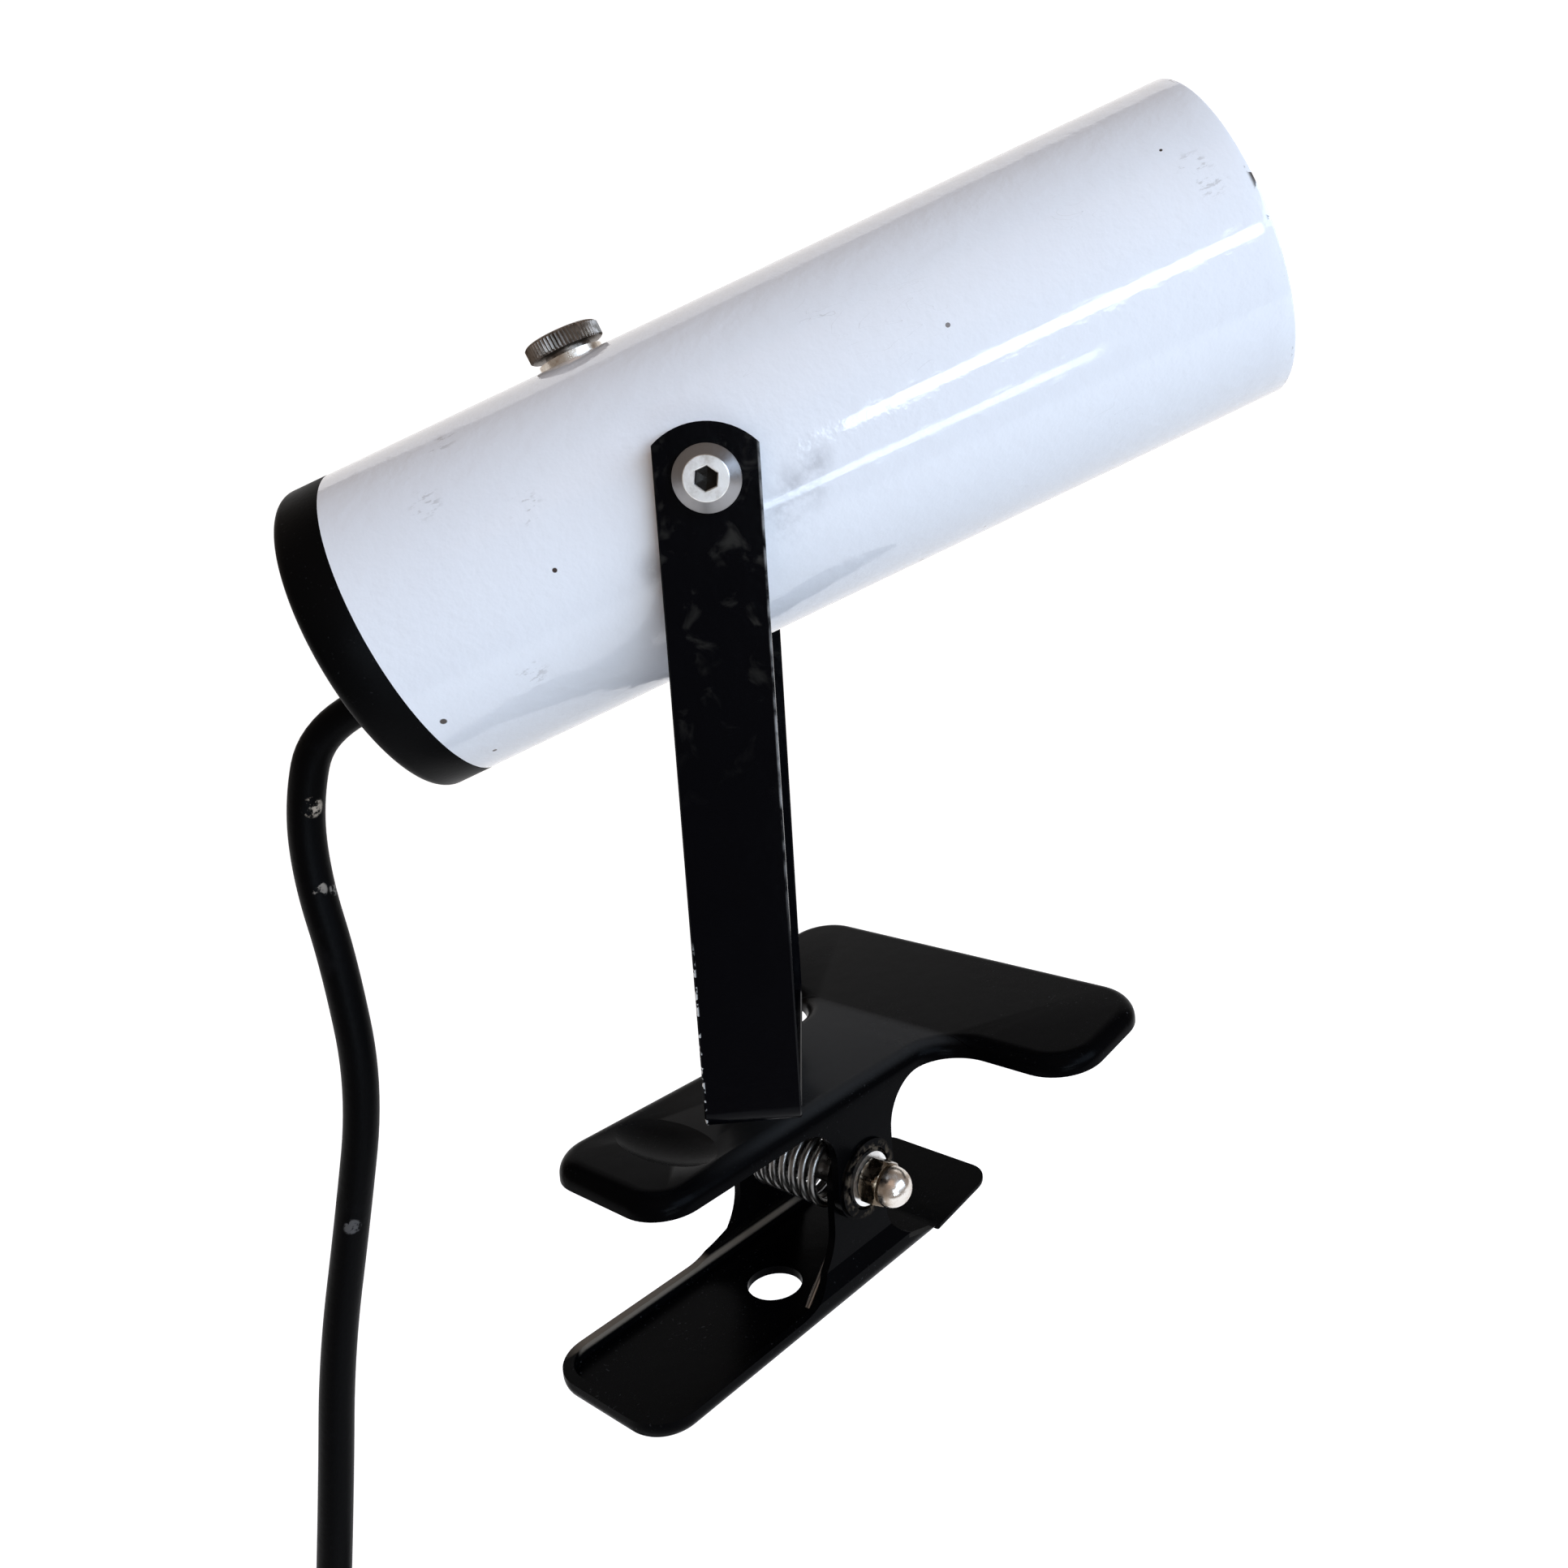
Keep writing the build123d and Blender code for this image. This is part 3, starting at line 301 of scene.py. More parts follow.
def share(value, low, high):
    """0 below low, 1 above high; the other way round if low is the larger."""
    inputs = {"Value": value, "From Min": low, "From Max": high}
    return add("MapRange", inputs, interpolation_type="SMOOTHSTEP").outputs[0]


def times(*values):
    """Product: a pattern that shows only where all of them do."""
    product = values[0]
    for value in values[1:]:
        product = add("Math", {0: product, 1: value}, operation="MULTIPLY").outputs[0]
    return product


def most(*values):
    """Largest: a pattern that shows where any of them does."""
    largest = values[0]
    for value in values[1:]:
        largest = add("Math", {0: largest, 1: value}, operation="MAXIMUM").outputs[0]
    return largest


def layered(part, under, over):
    """Colour over laid on colour under, where part says how much of it shows."""
    colours = [c if is_socket(c) else (*c, 1) for c in (under, over)]
    return add("Mix", {0: part, 6: colours[0], 7: colours[1]}, data_type="RGBA").outputs[2]


def between(part, low, high):
    """Value that goes from low to high as part goes from 0 to 1."""
    return add("MapRange", {"Value": part, "To Min": low, "To Max": high}).outputs[0]


def along(coords, axis):
    return add("SeparateXYZ", {"Vector": coords}).outputs[axis]


def fading(length, off, full):
    """0 where a length in metres is at off, 1 where it is at full; both in millimetres."""
    return share(length, off * MM, full * MM)


def where(coords, axis, off, full):
    """0 where the coordinate along an axis is at off, 1 at full; both in millimetres."""
    return fading(along(coords, axis), off, full)


def away_from(coords, spot):
    """Distance from a spot given in millimetres, in metres."""
    spot = tuple(c * MM for c in spot)
    return add("VectorMath", {0: coords, 1: spot}, operation="DISTANCE").outputs["Value"]


def near_spot(coords, spot, size):
    """1 at a spot, fading to 0 at the given distance from it; both in millimetres."""
    return fading(away_from(coords, spot), size, 0.0)


def link(socket, shader, name):
    socket.id_data.links.new(socket, shader.inputs[name])


def raise_surface(shader, height, depth, strength=1.0):
    """Unevenness too fine for the mesh: height is the pattern, depth its size in metres."""
    inputs = {"Height": height, "Distance": depth, "Strength": strength}
    link(add("Bump", inputs).outputs[0], shader, "Normal")


# Cord's sheath: matt black rubber, greyed with dust and rubbed in a few places
rubbed_spots = [
    ((-92.3, -2.7, 74.6), 3.6), ((-92.6, -3.8, 56.2), 2.6),
    ((-90.6, -0.8, 55.5), 2.6), ((-94.5, -5.0, -23.5), 3.0),
]
rubber_black, rubber_greyed = (0.0008, 0.0008, 0.001), (0.008, 0.008, 0.009)
rubbed_grey, rubbed_tan = (0.075, 0.072, 0.07), (0.42, 0.36, 0.29)
rubber, rubber_shader, rubber_coords = finish_of(
    "black_rubber", rubber_black, 0.5, Specular_IOR_Level=0.04)
rubber_local = own_axes(rubber_coords, yoke_place)
rubber_wear = noise(rubber_local, 420.0, 4.0, 0.6)
rubbed = most(*[near_spot(rubber_local, spot, size) for spot, size in rubbed_spots])
rubbed = times(share(rubbed, 0.2, 0.5), share(rubber_wear, 0.47, 0.56))
rubbed_tone = where(rubber_local, "Z", 50.0, 66.0)
rubbed_colour = layered(rubbed_tone, rubbed_grey, rubbed_tan)
rubber_dust = share(noise(rubber_local, 90.0, 5.0, 0.65), 0.55, 0.8)
rubber_colour = layered(between(rubber_dust, 0.0, 0.35), rubber_black, rubber_greyed)
link(layered(rubbed, rubber_colour, rubbed_colour), rubber_shader, "Base Color")
link(between(rubber_dust, 0.42, 0.62), rubber_shader, "Roughness")
raise_surface(rubber_shader, noise(rubber_local, 700.0, 2.0), 0.00012, 0.5)
cord.data.materials.append(rubber)

# Plug, its pins and the coil's tie
# A moulded two-pin plug hangs on the cord's end.  Its neck has ribs that let it bend, and its
# sides are waisted for a grip.  The coil is held by a band of black tape.
plug_len = 38.0
plug_stations = np.array([
    (0.0, 4.1, 4.1), (0.0, 5.2, 5.2), (1.6, 5.6, 5.6), (2.2, 4.7, 4.7), (3.2, 4.7, 4.7),
    (3.8, 5.9, 5.9), (5.4, 6.0, 6.0), (6.0, 4.9, 4.9), (7.0, 4.9, 4.9), (7.6, 6.2, 6.2),
    (9.2, 6.3, 6.3), (9.8, 5.1, 5.1), (10.6, 5.1, 5.1), (11.4, 6.5, 6.5), (13.5, 7.6, 7.0),
    (16.5, 10.4, 8.4), (20.0, 14.2, 10.3), (23.0, 16.4, 11.6), (26.0, 17.2, 12.1),
    (29.0, 18.1, 12.7), (36.4, 18.3, 12.8), (37.5, 17.7, 12.3), (plug_len, 16.4, 11.3),
    (plug_len, 0.0, 0.0),
])
plug_pin_r, plug_pin_len, plug_pin_gap, plug_pin_root = 2.4, 19.0, 19.0, 36.0
plug_aim = unit(np.subtract(tail_end, tail_bend))
plug_x = unit(np.array((0, 1, 0)) - plug_aim * plug_aim[1])
plug_axes = Matrix(np.column_stack([plug_x, np.cross(plug_aim, plug_x), plug_aim]).tolist())
plug_place = yoke_place @ moved(*tail_end) @ plug_axes.to_4x4()


def oval_loft(stations, sides=72, squareness=2.3):
    """Superellipse rings: each station gives height and the two half widths."""
    angle = np.linspace(0, 2 * np.pi, sides, endpoint=False)
    c, s = np.cos(angle), np.sin(angle)
    x = np.sign(c) * np.abs(c) ** (2 / squareness) * stations[:, 1:2]
    y = np.sign(s) * np.abs(s) ** (2 / squareness) * stations[:, 2:3]
    z = np.repeat(stations[:, :1], sides, 1)
    return np.stack([x, y, z], -1).reshape(-1, 3), grid_faces(len(stations), sides)


def lathe(profile, sides=96, axis="X"):
    """Surface of revolution: each profile point (ahead, radius) is carried round the axis."""
    profile = np.asarray(profile, float)
    angle = np.linspace(0, 2 * np.pi, sides, endpoint=False)
    ahead = np.repeat(profile[:, :1], sides, 1)
    c, s = profile[:, 1:] * np.cos(angle), profile[:, 1:] * np.sin(angle)
    order = {"X": (ahead, c, s), "Y": (s, ahead, c), "Z": (c, s, ahead)}[axis]
    return np.stack(order, -1).reshape(-1, 3), grid_faces(len(profile), sides)


plug_points, plug_faces = oval_loft(plug_stations)
plug = make_piece("plug", plug_points, plug_faces, plug_place,
                  "yoke", ["plug_body"], 50)
pin_end = plug_len + plug_pin_len
pin_profile = [(plug_pin_root, 0.0), (plug_pin_root, plug_pin_r), (pin_end - 1.4, plug_pin_r)]
pin_profile += [(pin_end - 0.5, plug_pin_r - 0.5), (pin_end, plug_pin_r - 1.4), (pin_end, 0.0)]
one_pin, one_pin_faces = lathe(pin_profile, 32, "Z")
both_pins = np.vstack([one_pin + (x, 0, 0) for x in (-plug_pin_gap / 2, plug_pin_gap / 2)])
both_faces = np.vstack([one_pin_faces, one_pin_faces + len(one_pin)])
pins = make_piece("pins", both_pins, both_faces, plug_place,
                  "yoke", ["plug_pins"], 40)

tie_w, tie_t, tie_gap, tie_corner = 8.0, 1.2, 0.3, 3.5
tie_span = turns_per_layer * coil_pitch + cord_d + 2 * tie_gap + tie_t
tie_deep = (coil_layers - 1) * coil_pitch + cord_d + 2 * tie_gap + tie_t
tie_centre_x = coil_left + 2 * coil_mean_r + turns_per_layer * coil_pitch / 2
tie_middle_y = coil_side + (coil_layers - 1) * coil_pitch / 2


def band_round(span, deep, corner, width, thick, per_corner=8):
    """A thin rounded strip carried round a rounded rectangle and closed on itself."""
    a = np.linspace(0, np.pi / 2, per_corner)
    turns = np.concatenate([a, a + np.pi / 2, a + np.pi, a + 3 * np.pi / 2])
    cx = np.repeat([1, -1, -1, 1], per_corner) * (span / 2 - corner)
    cy = np.repeat([1, 1, -1, -1], per_corner) * (deep / 2 - corner)
    out = np.stack([np.cos(turns), np.sin(turns), 0 * turns], -1)
    middle = np.stack([cx, cy, 0 * cx], -1) + out * corner
    b = np.linspace(0, 2 * np.pi, 16, endpoint=False)
    rise = np.sign(np.sin(b)) * np.abs(np.sin(b)) ** 0.25 * width / 2
    proud = np.sign(np.cos(b)) * np.abs(np.cos(b)) ** 0.5 * thick / 2
    ring = middle[:, None] + out[:, None] * proud[:, None] + np.array((0, 0, 1)) * rise[:, None]
    return ring.reshape(-1, 3), grid_faces(len(middle), len(b), closed_rows=True)


tie_points, tie_faces = band_round(tie_span, tie_deep, tie_corner + tie_t / 2, tie_w, tie_t)
tie_points = tie_points + (tie_centre_x, tie_middle_y, coil_top - coil_lead)
tie = make_piece("coil_tie", tie_points, tie_faces, yoke_place,
                 "yoke", ["cord_tie"], 50)

soft_black, soft_black_worn = (0.014, 0.014, 0.015), (0.03, 0.03, 0.031)
moulding, moulding_shader, moulding_coords = finish_of("plug_plastic", soft_black, 0.34)
raise_surface(moulding_shader, noise(moulding_coords, 1500.0, 2.0), 0.00006, 0.5)
link(between(noise(moulding_coords, 120.0, 4.0), 0.26, 0.44), moulding_shader, "Roughness")
plug.data.materials.append(moulding)
tape, tape_shader, tape_coords = finish_of("black_tape", (0.02, 0.02, 0.021), 0.6)
raise_surface(tape_shader, noise(tape_coords, 2500.0, 3.0, 0.7), 0.00008, 0.6)
tape_colour = layered(noise(tape_coords, 300.0, 4.0), soft_black, soft_black_worn)
link(tape_colour, tape_shader, "Base Color")
tie.data.materials.append(tape)
nickel, nickel_shader, nickel_coords = finish_of("nickel", (0.62, 0.57, 0.5), 0.25, 1.0)
nickel_stain = share(noise(nickel_coords, 380.0, 5.0, 0.6), 0.42, 0.7)
link(layered(nickel_stain, (0.66, 0.62, 0.56), (0.42, 0.34, 0.26)), nickel_shader, "Base Color")
link(between(noise(nickel_coords, 900.0, 4.0), 0.16, 0.42), nickel_shader, "Roughness")
raise_surface(nickel_shader, noise(nickel_coords, 2600.0, 2.0), 0.00003, 0.5)
pins.data.materials.append(nickel)

# Tube shade
# A rolled and seamed steel tube, stove-enamelled white inside and out.  The front edge is
# left plain and is chipped, and the paint has hairline scratches, specks and grey scuffs.
tube_r, tube_wall = 35.0, 1.2
tube_front, tube_rear, rim_round = 118.0, -72.0, 0.5
tube_inside = tube_r - tube_wall


def rounded_corner(centre, radius, start, end, steps=6):
    """Points of a circular arc in a profile, from one angle in degrees to another."""
    a = np.radians(np.linspace(start, end, steps))
    return [(centre[0] + radius * np.cos(t), centre[1] + radius * np.sin(t)) for t in a]


rim = rounded_corner((tube_front - rim_round, tube_r - rim_round), rim_round, 90, 0)
rim += rounded_corner((tube_front - rim_round, tube_inside + rim_round), rim_round, 0, -90)
back_edge = [(tube_rear, tube_inside), (tube_rear, tube_r), (tube_rear + 0.2, tube_r)]
outside = [(s, tube_r) for s in np.linspace(tube_rear + 4, tube_front - 4, 24)]
inside = [(s, tube_inside) for s in np.linspace(tube_front - 4, tube_rear, 12)]
shade_points, shade_faces = lathe(back_edge + outside + rim + inside, 256)
shade = make_piece("shade", shade_points, shade_faces, head_place,
                   "head", ["tube_shade"], 50)

# Grey patches on the tube's near face beside the strap's arm: partly smudges, partly painted
# shade of the strap.
shade_and_smudge_spots = [
    ((14.5, -33.8, -9.1), 8.0), ((10.0, -32.5, -13.1), 7.0),
    ((19.0, -34.6, -5.5), 6.0), ((-16.5, -33.1, -11.4), 6.0),
]
scuff_size = 5.0
scuffs = [
    (-51.0, -29.7, 18.5), (-33.5, -33.6, 9.6), (110.0, -33.6, 9.6),
    (108.5, -32.2, 13.7), (-48.5, -29.4, -19.1), (-45.0, -20.1, 28.7),
]
pits = [
    ((-34.0, -34.9, -3.1), 0.9), ((-68.5, -28.7, -20.1), 1.3), ((-66.0, -17.0, -30.6), 0.9),
    ((31.5, -7.9, -34.1), 1.3), ((105.0, -29.4, 19.1), 0.6),
]
shade_and_smudge_grey, scuff_grey, scratch_grey = (0.3, 0.3, 0.32), (0.3, 0.28, 0.26), (0.35, 0.33, 0.3)
speck_brown, pit_brown = (0.12, 0.1, 0.09), (0.05, 0.035, 0.03)
chip_brown = (0.08, 0.07, 0.065)
enamel, enamel_shader, enamel_coords = finish_of(
    "white_enamel", (0.8, 0.81, 0.83), 0.12,
    Specular_IOR_Level=0.2, Coat_Weight=0.5, Coat_Roughness=0.03)
enamel_local = own_axes(enamel_coords, head_place)
enamel_cloud = noise(enamel_local, 26.0, 4.0, 0.55)
enamel_colour = layered(enamel_cloud, (0.78, 0.79, 0.82), (0.81, 0.82, 0.84))
enamel_cells = add("TexVoronoi", {"Vector": enamel_local, "Scale": 150.0})
cell_luck = along(enamel_cells.outputs["Color"], "X")
speck_size = between(share(cell_luck, 0.86, 1.0), 0.0, 0.075)
cell_gap = enamel_cells.outputs["Distance"]
speck = add("Math", {0: cell_gap, 1: speck_size}, operation="LESS_THAN").outputs[0]
scratch_coords = add("Mapping", {"Vector": enamel_local, "Scale": (1.0, 2.5, 2.5)}).outputs[0]
scratch_wave = noise(scratch_coords, 55.0, 2.0, 0.5, 1.5)
scratch_line = add("Math", {0: scratch_wave, 1: 0.5}, operation="SUBTRACT")
scratch_line = add("Math", {0: scratch_line.outputs[0]}, operation="ABSOLUTE").outputs[0]
scratch_patch = share(noise(enamel_local, 30.0, 2.0), 0.6, 0.66)
scratch = times(share(scratch_line, 0.0016, 0.0006), scratch_patch)
enamel_colour = layered(times(scratch, 0.35), enamel_colour, scratch_grey)
enamel_colour = layered(times(speck, 0.85), enamel_colour, speck_brown)
# Painted shade beside the strap's arm, mixed with smudging and broken up by a cloud.
smudged_and_shaded = most(*[near_spot(enamel_local, spot, size) for spot, size in shade_and_smudge_spots])
smudged_and_shaded = times(smudged_and_shaded, share(noise(enamel_local, 90.0, 5.0, 0.65), 0.38, 0.62))
enamel_colour = layered(times(smudged_and_shaded, 0.55), enamel_colour, shade_and_smudge_grey)
scuff = most(*[near_spot(enamel_local, spot, scuff_size) for spot in scuffs])
scuff = times(share(scuff, 0.0, 0.8), share(noise(scratch_coords, 300.0, 5.0, 0.7), 0.54, 0.6))
enamel_colour = layered(times(scuff, 0.38), enamel_colour, scuff_grey)
pit = most(*[share(near_spot(enamel_local, spot, size), 0.3, 0.6) for spot, size in pits])
enamel_colour = layered(pit, enamel_colour, pit_brown)
rim_height = where(enamel_local, "X", 116.8, 117.6)
rim_chip = times(rim_height, share(noise(enamel_local, 210.0, 4.0, 0.6), 0.58, 0.6))
enamel_colour = layered(rim_chip, enamel_colour, chip_brown)
link(enamel_colour, enamel_shader, "Base Color")
link(between(enamel_cloud, 0.06, 0.11), enamel_shader, "Roughness")
raise_surface(enamel_shader, noise(enamel_local, 260.0, 3.0, 0.6), 0.00018, 0.9)
shade.data.materials.append(enamel)

# Rear cap and strain relief
# The cap is moulded in black plastic and pressed into the tube.  The cord comes through it in
# a tapered rubber sleeve.
cap_depth, cap_round, cap_plug_depth, cap_wall, cap_fit = 10.6, 2.6, 10.0, 2.4, 0.2
cap_back = tube_rear - cap_depth
spigot_r = tube_r - tube_wall - cap_fit
cap_seam, cap_inside = tube_rear - 0.05, spigot_r - cap_wall
cap_profile = [(cap_back, 0.0), (cap_back, 12.0), (cap_back, 24.0)]
cap_profile += rounded_corner((cap_back + cap_round, tube_r - cap_round), cap_round, 180, 90, 10)
cap_profile += [
    (tube_rear - 0.3, tube_r), (cap_seam, tube_r - 0.2), (cap_seam, spigot_r),
    (tube_rear + cap_plug_depth, spigot_r), (tube_rear + cap_plug_depth, cap_inside),
    (cap_back + cap_wall, cap_inside), (cap_back + cap_wall, 0.0),
]
cap_points, cap_faces = lathe(cap_profile, 192)
cap = make_piece("cap", cap_points, cap_faces, head_place,
                 "head", ["rear_cap"], 50)
plastic_black, plastic_dusty = (0.0008, 0.0008, 0.0009), (0.05, 0.05, 0.05)
plastic, plastic_shader, plastic_coords = finish_of(
    "black_plastic", plastic_black, 0.45, Specular_IOR_Level=0.04)
plastic_local = own_axes(plastic_coords, head_place)
plastic_dust = share(noise(plastic_local, 1500.0, 2.0), 0.68, 0.78)
plastic_colour = layered(times(plastic_dust, 0.25), plastic_black, plastic_dusty)
link(plastic_colour, plastic_shader, "Base Color")
link(between(noise(plastic_local, 60.0, 4.0), 0.32, 0.55), plastic_shader, "Roughness")
raise_surface(plastic_shader, noise(plastic_local, 1100.0, 2.0), 0.00005, 0.6)
cap.data.materials.append(plastic)

gland_r, gland_tip_r, gland_len, gland_flange_r = 6.4, 4.9, 20.0, 8.0
gland_bore, flange_low, flange_t = cord_d / 2 + 0.05, cap_back + cap_wall + 0.05, 1.2
sleeve_profile = [
    (gland_tip, gland_bore), (gland_tip, gland_tip_r - 0.3), (gland_tip + 0.3, gland_tip_r),
    (cap_back - 3.0, gland_r - 0.6), (cap_back - 0.6, gland_r), (flange_low, gland_r),
    (flange_low, gland_flange_r), (flange_low + flange_t, gland_flange_r),
    (flange_low + flange_t, gland_r), (gland_tip + gland_len, gland_r - 1),
    (gland_tip + gland_len, gland_bore),
]
sleeve_points, sleeve_faces = lathe(sleeve_profile, 64)
gland = make_piece("gland", sleeve_points - (0, 0, exit_drop), sleeve_faces, head_place,
                   "head", ["cord_gland"], 40)
gland.data.materials.append(rubber)

# Jaws
# Two pressings of 2 mm sheet with turned-down lips that rise into ears round the clamp bolt,
# stove-enamelled black.  The paint is thick and glossy, and worn brown round the nut.
bolt_near_end = (14.0, -19.0, -24.0)
stove_black, stove_dusty = (0.001, 0.001, 0.0012), (0.1, 0.1, 0.1)
# Lighter black for the stem's flat top: partly a dust film, partly painted sheen.
dusty_sheen_black = (0.022, 0.022, 0.022)
# The second colour here, for the lower jaw's far lip, is partly worn paint and partly a painted
# edge highlight.
worn_brown, rim_brown_and_highlight = (0.11, 0.085, 0.06), (0.14, 0.115, 0.09)


def carried(name, node, body, material, sharp=30.0):
    """Copy of a solid that has the right shape already: its loose triangles are joined, and
    its faces shaded smooth up to the given angle."""
    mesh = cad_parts[node].data.copy()
    mesh.name = name
    work = bmesh.new()
    work.from_mesh(mesh)
    bmesh.ops.remove_doubles(work, verts=work.verts, dist=2e-6)
    work.to_mesh(mesh)
    work.free()
    if "custom_normal" in mesh.attributes:
        mesh.attributes.remove(mesh.attributes["custom_normal"])
    mesh.polygons.foreach_set("use_smooth", np.ones(len(mesh.polygons), bool))
    mesh.set_sharp_from_angle(angle=np.radians(sharp))
    mesh.materials.clear()
    mesh.materials.append(material)
    piece = bpy.data.objects.new(name, mesh)
    bpy.context.scene.collection.objects.link(piece)
    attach(piece, body)
    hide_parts(node)
    return piece


black, black_shader, black_coords = finish_of("black_enamel", stove_black, 0.28)
black_local = own_axes(black_coords, jaw_place)
black_shader.inputs["Specular IOR Level"].default_value = 0.014
black_cloud = noise(black_local, 35.0, 4.0, 0.6)
black_dust = share(noise(black_local, 1300.0, 2.0), 0.66, 0.74)
black_dust = times(black_dust, share(black_cloud, 0.45, 0.7))
bolt_wear = times(fading(away_from(black_local, bolt_near_end), 9.8, 7.0),
                  share(noise(black_local, 500.0, 4.0), 0.44, 0.6))
black_colour = layered(times(black_dust, 0.3), stove_black, stove_dusty)
black_colour = layered(times(bolt_wear, 0.7), black_colour, worn_brown)
# The stem's flat top is painted lighter: partly a dust film, partly painted sheen of the light on
# that face.
stem_dust_and_sheen = times(where(black_local, "X", 47.5, 43.0), where(black_local, "X", -40.0, -10.0),
                  where(black_local, "Z", -2.0, -0.3), between(black_cloud, 0.7, 1.0))
black_colour = layered(stem_dust_and_sheen, black_colour, dusty_sheen_black)
# A line along the top of the lower jaw's far lip: partly worn paint, partly a painted edge
# highlight.
rim_wear_and_highlight = times(where(black_local, "Z", -49.6, -48.6), where(black_local, "Z", -46.8, -47.8),
                 where(black_local, "Y", 16.2, 16.8), where(black_local, "X", -50.0, -42.0))
rim_wear_and_highlight = times(rim_wear_and_highlight, share(black_cloud, 0.3, 0.6))
black_colour = layered(rim_wear_and_highlight, black_colour, rim_brown_and_highlight)
link(black_colour, black_shader, "Base Color")
link(between(black_cloud, 0.16, 0.34), black_shader, "Roughness")
raise_surface(black_shader, noise(black_local, 190.0, 2.0), 0.00012, 0.4)
carried("jaw_upper", "upper_jaw", "clamp", black)
carried("jaw_lower", "lower_jaw", "lower_jaw", black)

# Yoke
# A steel strap bent into a U and painted like the jaws, in a thicker, lumpy coat.  Its edges
# are knocked: white metal shows in chips along one edge, near the foot.
strap_black, strap_lumpy = (0.0008, 0.0008, 0.001), (0.02, 0.019, 0.017)
# The grey here is for the near arm's right edge: partly worn paint, partly a painted edge
# highlight.
strap_sheen, edge_grey_and_highlight = (0.0008, 0.0009, 0.0016), (0.2, 0.195, 0.19)
strap_bare = (0.72, 0.72, 0.7)
strap_paint, strap_shader, strap_coords = finish_of("strap_enamel", strap_black, 0.2)
strap_local = own_axes(strap_coords, yoke_place)
strap_shader.inputs["Specular IOR Level"].default_value = 0.05
near_arm = where(strap_local, "Y", -20.0, -30.0)
left_edge, right_edge = where(strap_local, "X", -9.3, -9.8), where(strap_local, "X", 9.4, 9.8)
strap_chip = times(left_edge, where(strap_local, "Z", 50.0, 46.0), near_arm,
                   share(noise(strap_local, 420.0, 2.0, 0.5), 0.49, 0.53))
# Grey along the near arm's right edge: partly worn paint, partly a painted highlight on the edge.
strap_edge_wear_and_highlight = times(right_edge, near_arm, where(strap_local, "Z", 45.0, 85.0),
                   share(noise(strap_local, 200.0, 4.0), 0.35, 0.6))
strap_lump = times(share(noise(strap_local, 160.0, 3.0, 0.6, 0.6), 0.55, 0.75),
                   where(strap_local, "Z", 70.0, 125.0))
strap_colour = layered(strap_lump, strap_sheen, strap_lumpy)
strap_colour = layered(strap_edge_wear_and_highlight, strap_colour, edge_grey_and_highlight)
strap_colour = layered(strap_chip, strap_colour, strap_bare)
link(strap_colour, strap_shader, "Base Color")
link(between(noise(strap_local, 45.0, 4.0, 0.6), 0.12, 0.3), strap_shader, "Roughness")
raise_surface(strap_shader, noise(strap_local, 130.0, 3.0, 0.6), 0.0003, 0.5)
carried("strap", "yoke_strap", "yoke", strap_paint)

# Tilt screws
# Turned alloy screws with a cone-shaped head and a hexagon socket, one through each arm into
# a nut in the tube, on a shaped washer that keeps the arm off the paint.
arm_outside, screw_gap = 39.0, 0.5
cone_low, cone_face_r, cone_r, cone_h = arm_outside + screw_gap, 4.3, 6.5, 3.6
cone_face = cone_low + cone_h
grooves, groove_pitch, groove_depth = 10, 0.22, 0.03
socket_across, socket_depth, screw_shank_r, screw_end = 4.0, 2.6, 3.0, 28.3
alloy_bright, alloy_dull = (0.74, 0.73, 0.71), (0.45, 0.42, 0.38)
alloy_flank_shade, socket_painted_shade = (0.27, 0.266, 0.27), (0.015, 0.014, 0.013)
alloy, alloy_shader, alloy_coords = finish_of("turned_alloy", (0.68, 0.67, 0.65), 0.3, 1.0)
alloy_stain = share(noise(alloy_coords, 300.0, 4.0, 0.6), 0.45, 0.75)
alloy_local = own_axes(alloy_coords, head_place)
alloy_out = add("Math", {0: along(alloy_local, "Y")}, operation="ABSOLUTE").outputs[0]
under_face = fading(alloy_out, 43.0, 42.8)
# The cone flank is painted darker than the face: painted shade on the same alloy.
flank = times(fading(alloy_out, 39.5, 39.8), under_face)
alloy_colour = layered(alloy_stain, alloy_bright, alloy_dull)
alloy_colour = layered(flank, alloy_colour, alloy_flank_shade)
across_axis = {0: alloy_local, 1: (1.0, 0.0, 1.0)}
from_axis = add("VectorMath", across_axis, operation="MULTIPLY").outputs[0]
from_axis = add("VectorMath", {0: from_axis}, operation="LENGTH").outputs["Value"]
# The hexagon socket's well is painted near black: painted shade in the recess.
socket_well_shade = times(fading(from_axis, 2.6, 2.5), under_face, fading(alloy_out, 38.5, 39.0))
link(layered(socket_well_shade, alloy_colour, socket_painted_shade), alloy_shader, "Base Color")
link(between(noise(alloy_coords, 1400.0, 3.0), 0.22, 0.45), alloy_shader, "Roughness")
raise_surface(alloy_shader, noise(alloy_coords, 3000.0, 2.0), 0.00003, 0.6)


def hexagon_radius(sides, across):
    """Radius of a hexagon of the given width across flats, at even angles round it."""
    angle = np.linspace(0, 2 * np.pi, sides, endpoint=False)
    return across / 2 / np.cos((angle + np.pi / 6) % (np.pi / 3) - np.pi / 6)


def stacked_rings(rings, sides, axis="Z"):
    """Points of rings given as (height, radii), each turned once round the axis."""
    angle = np.linspace(0, 2 * np.pi, sides, endpoint=False)
    points = []
    for height, radius in rings:
        c, s, h = radius * np.cos(angle), radius * np.sin(angle), np.full(sides, height)
        points.append(np.stack({"Y": (s, h, c), "Z": (c, s, h)}[axis], -1))
    return np.vstack(points)


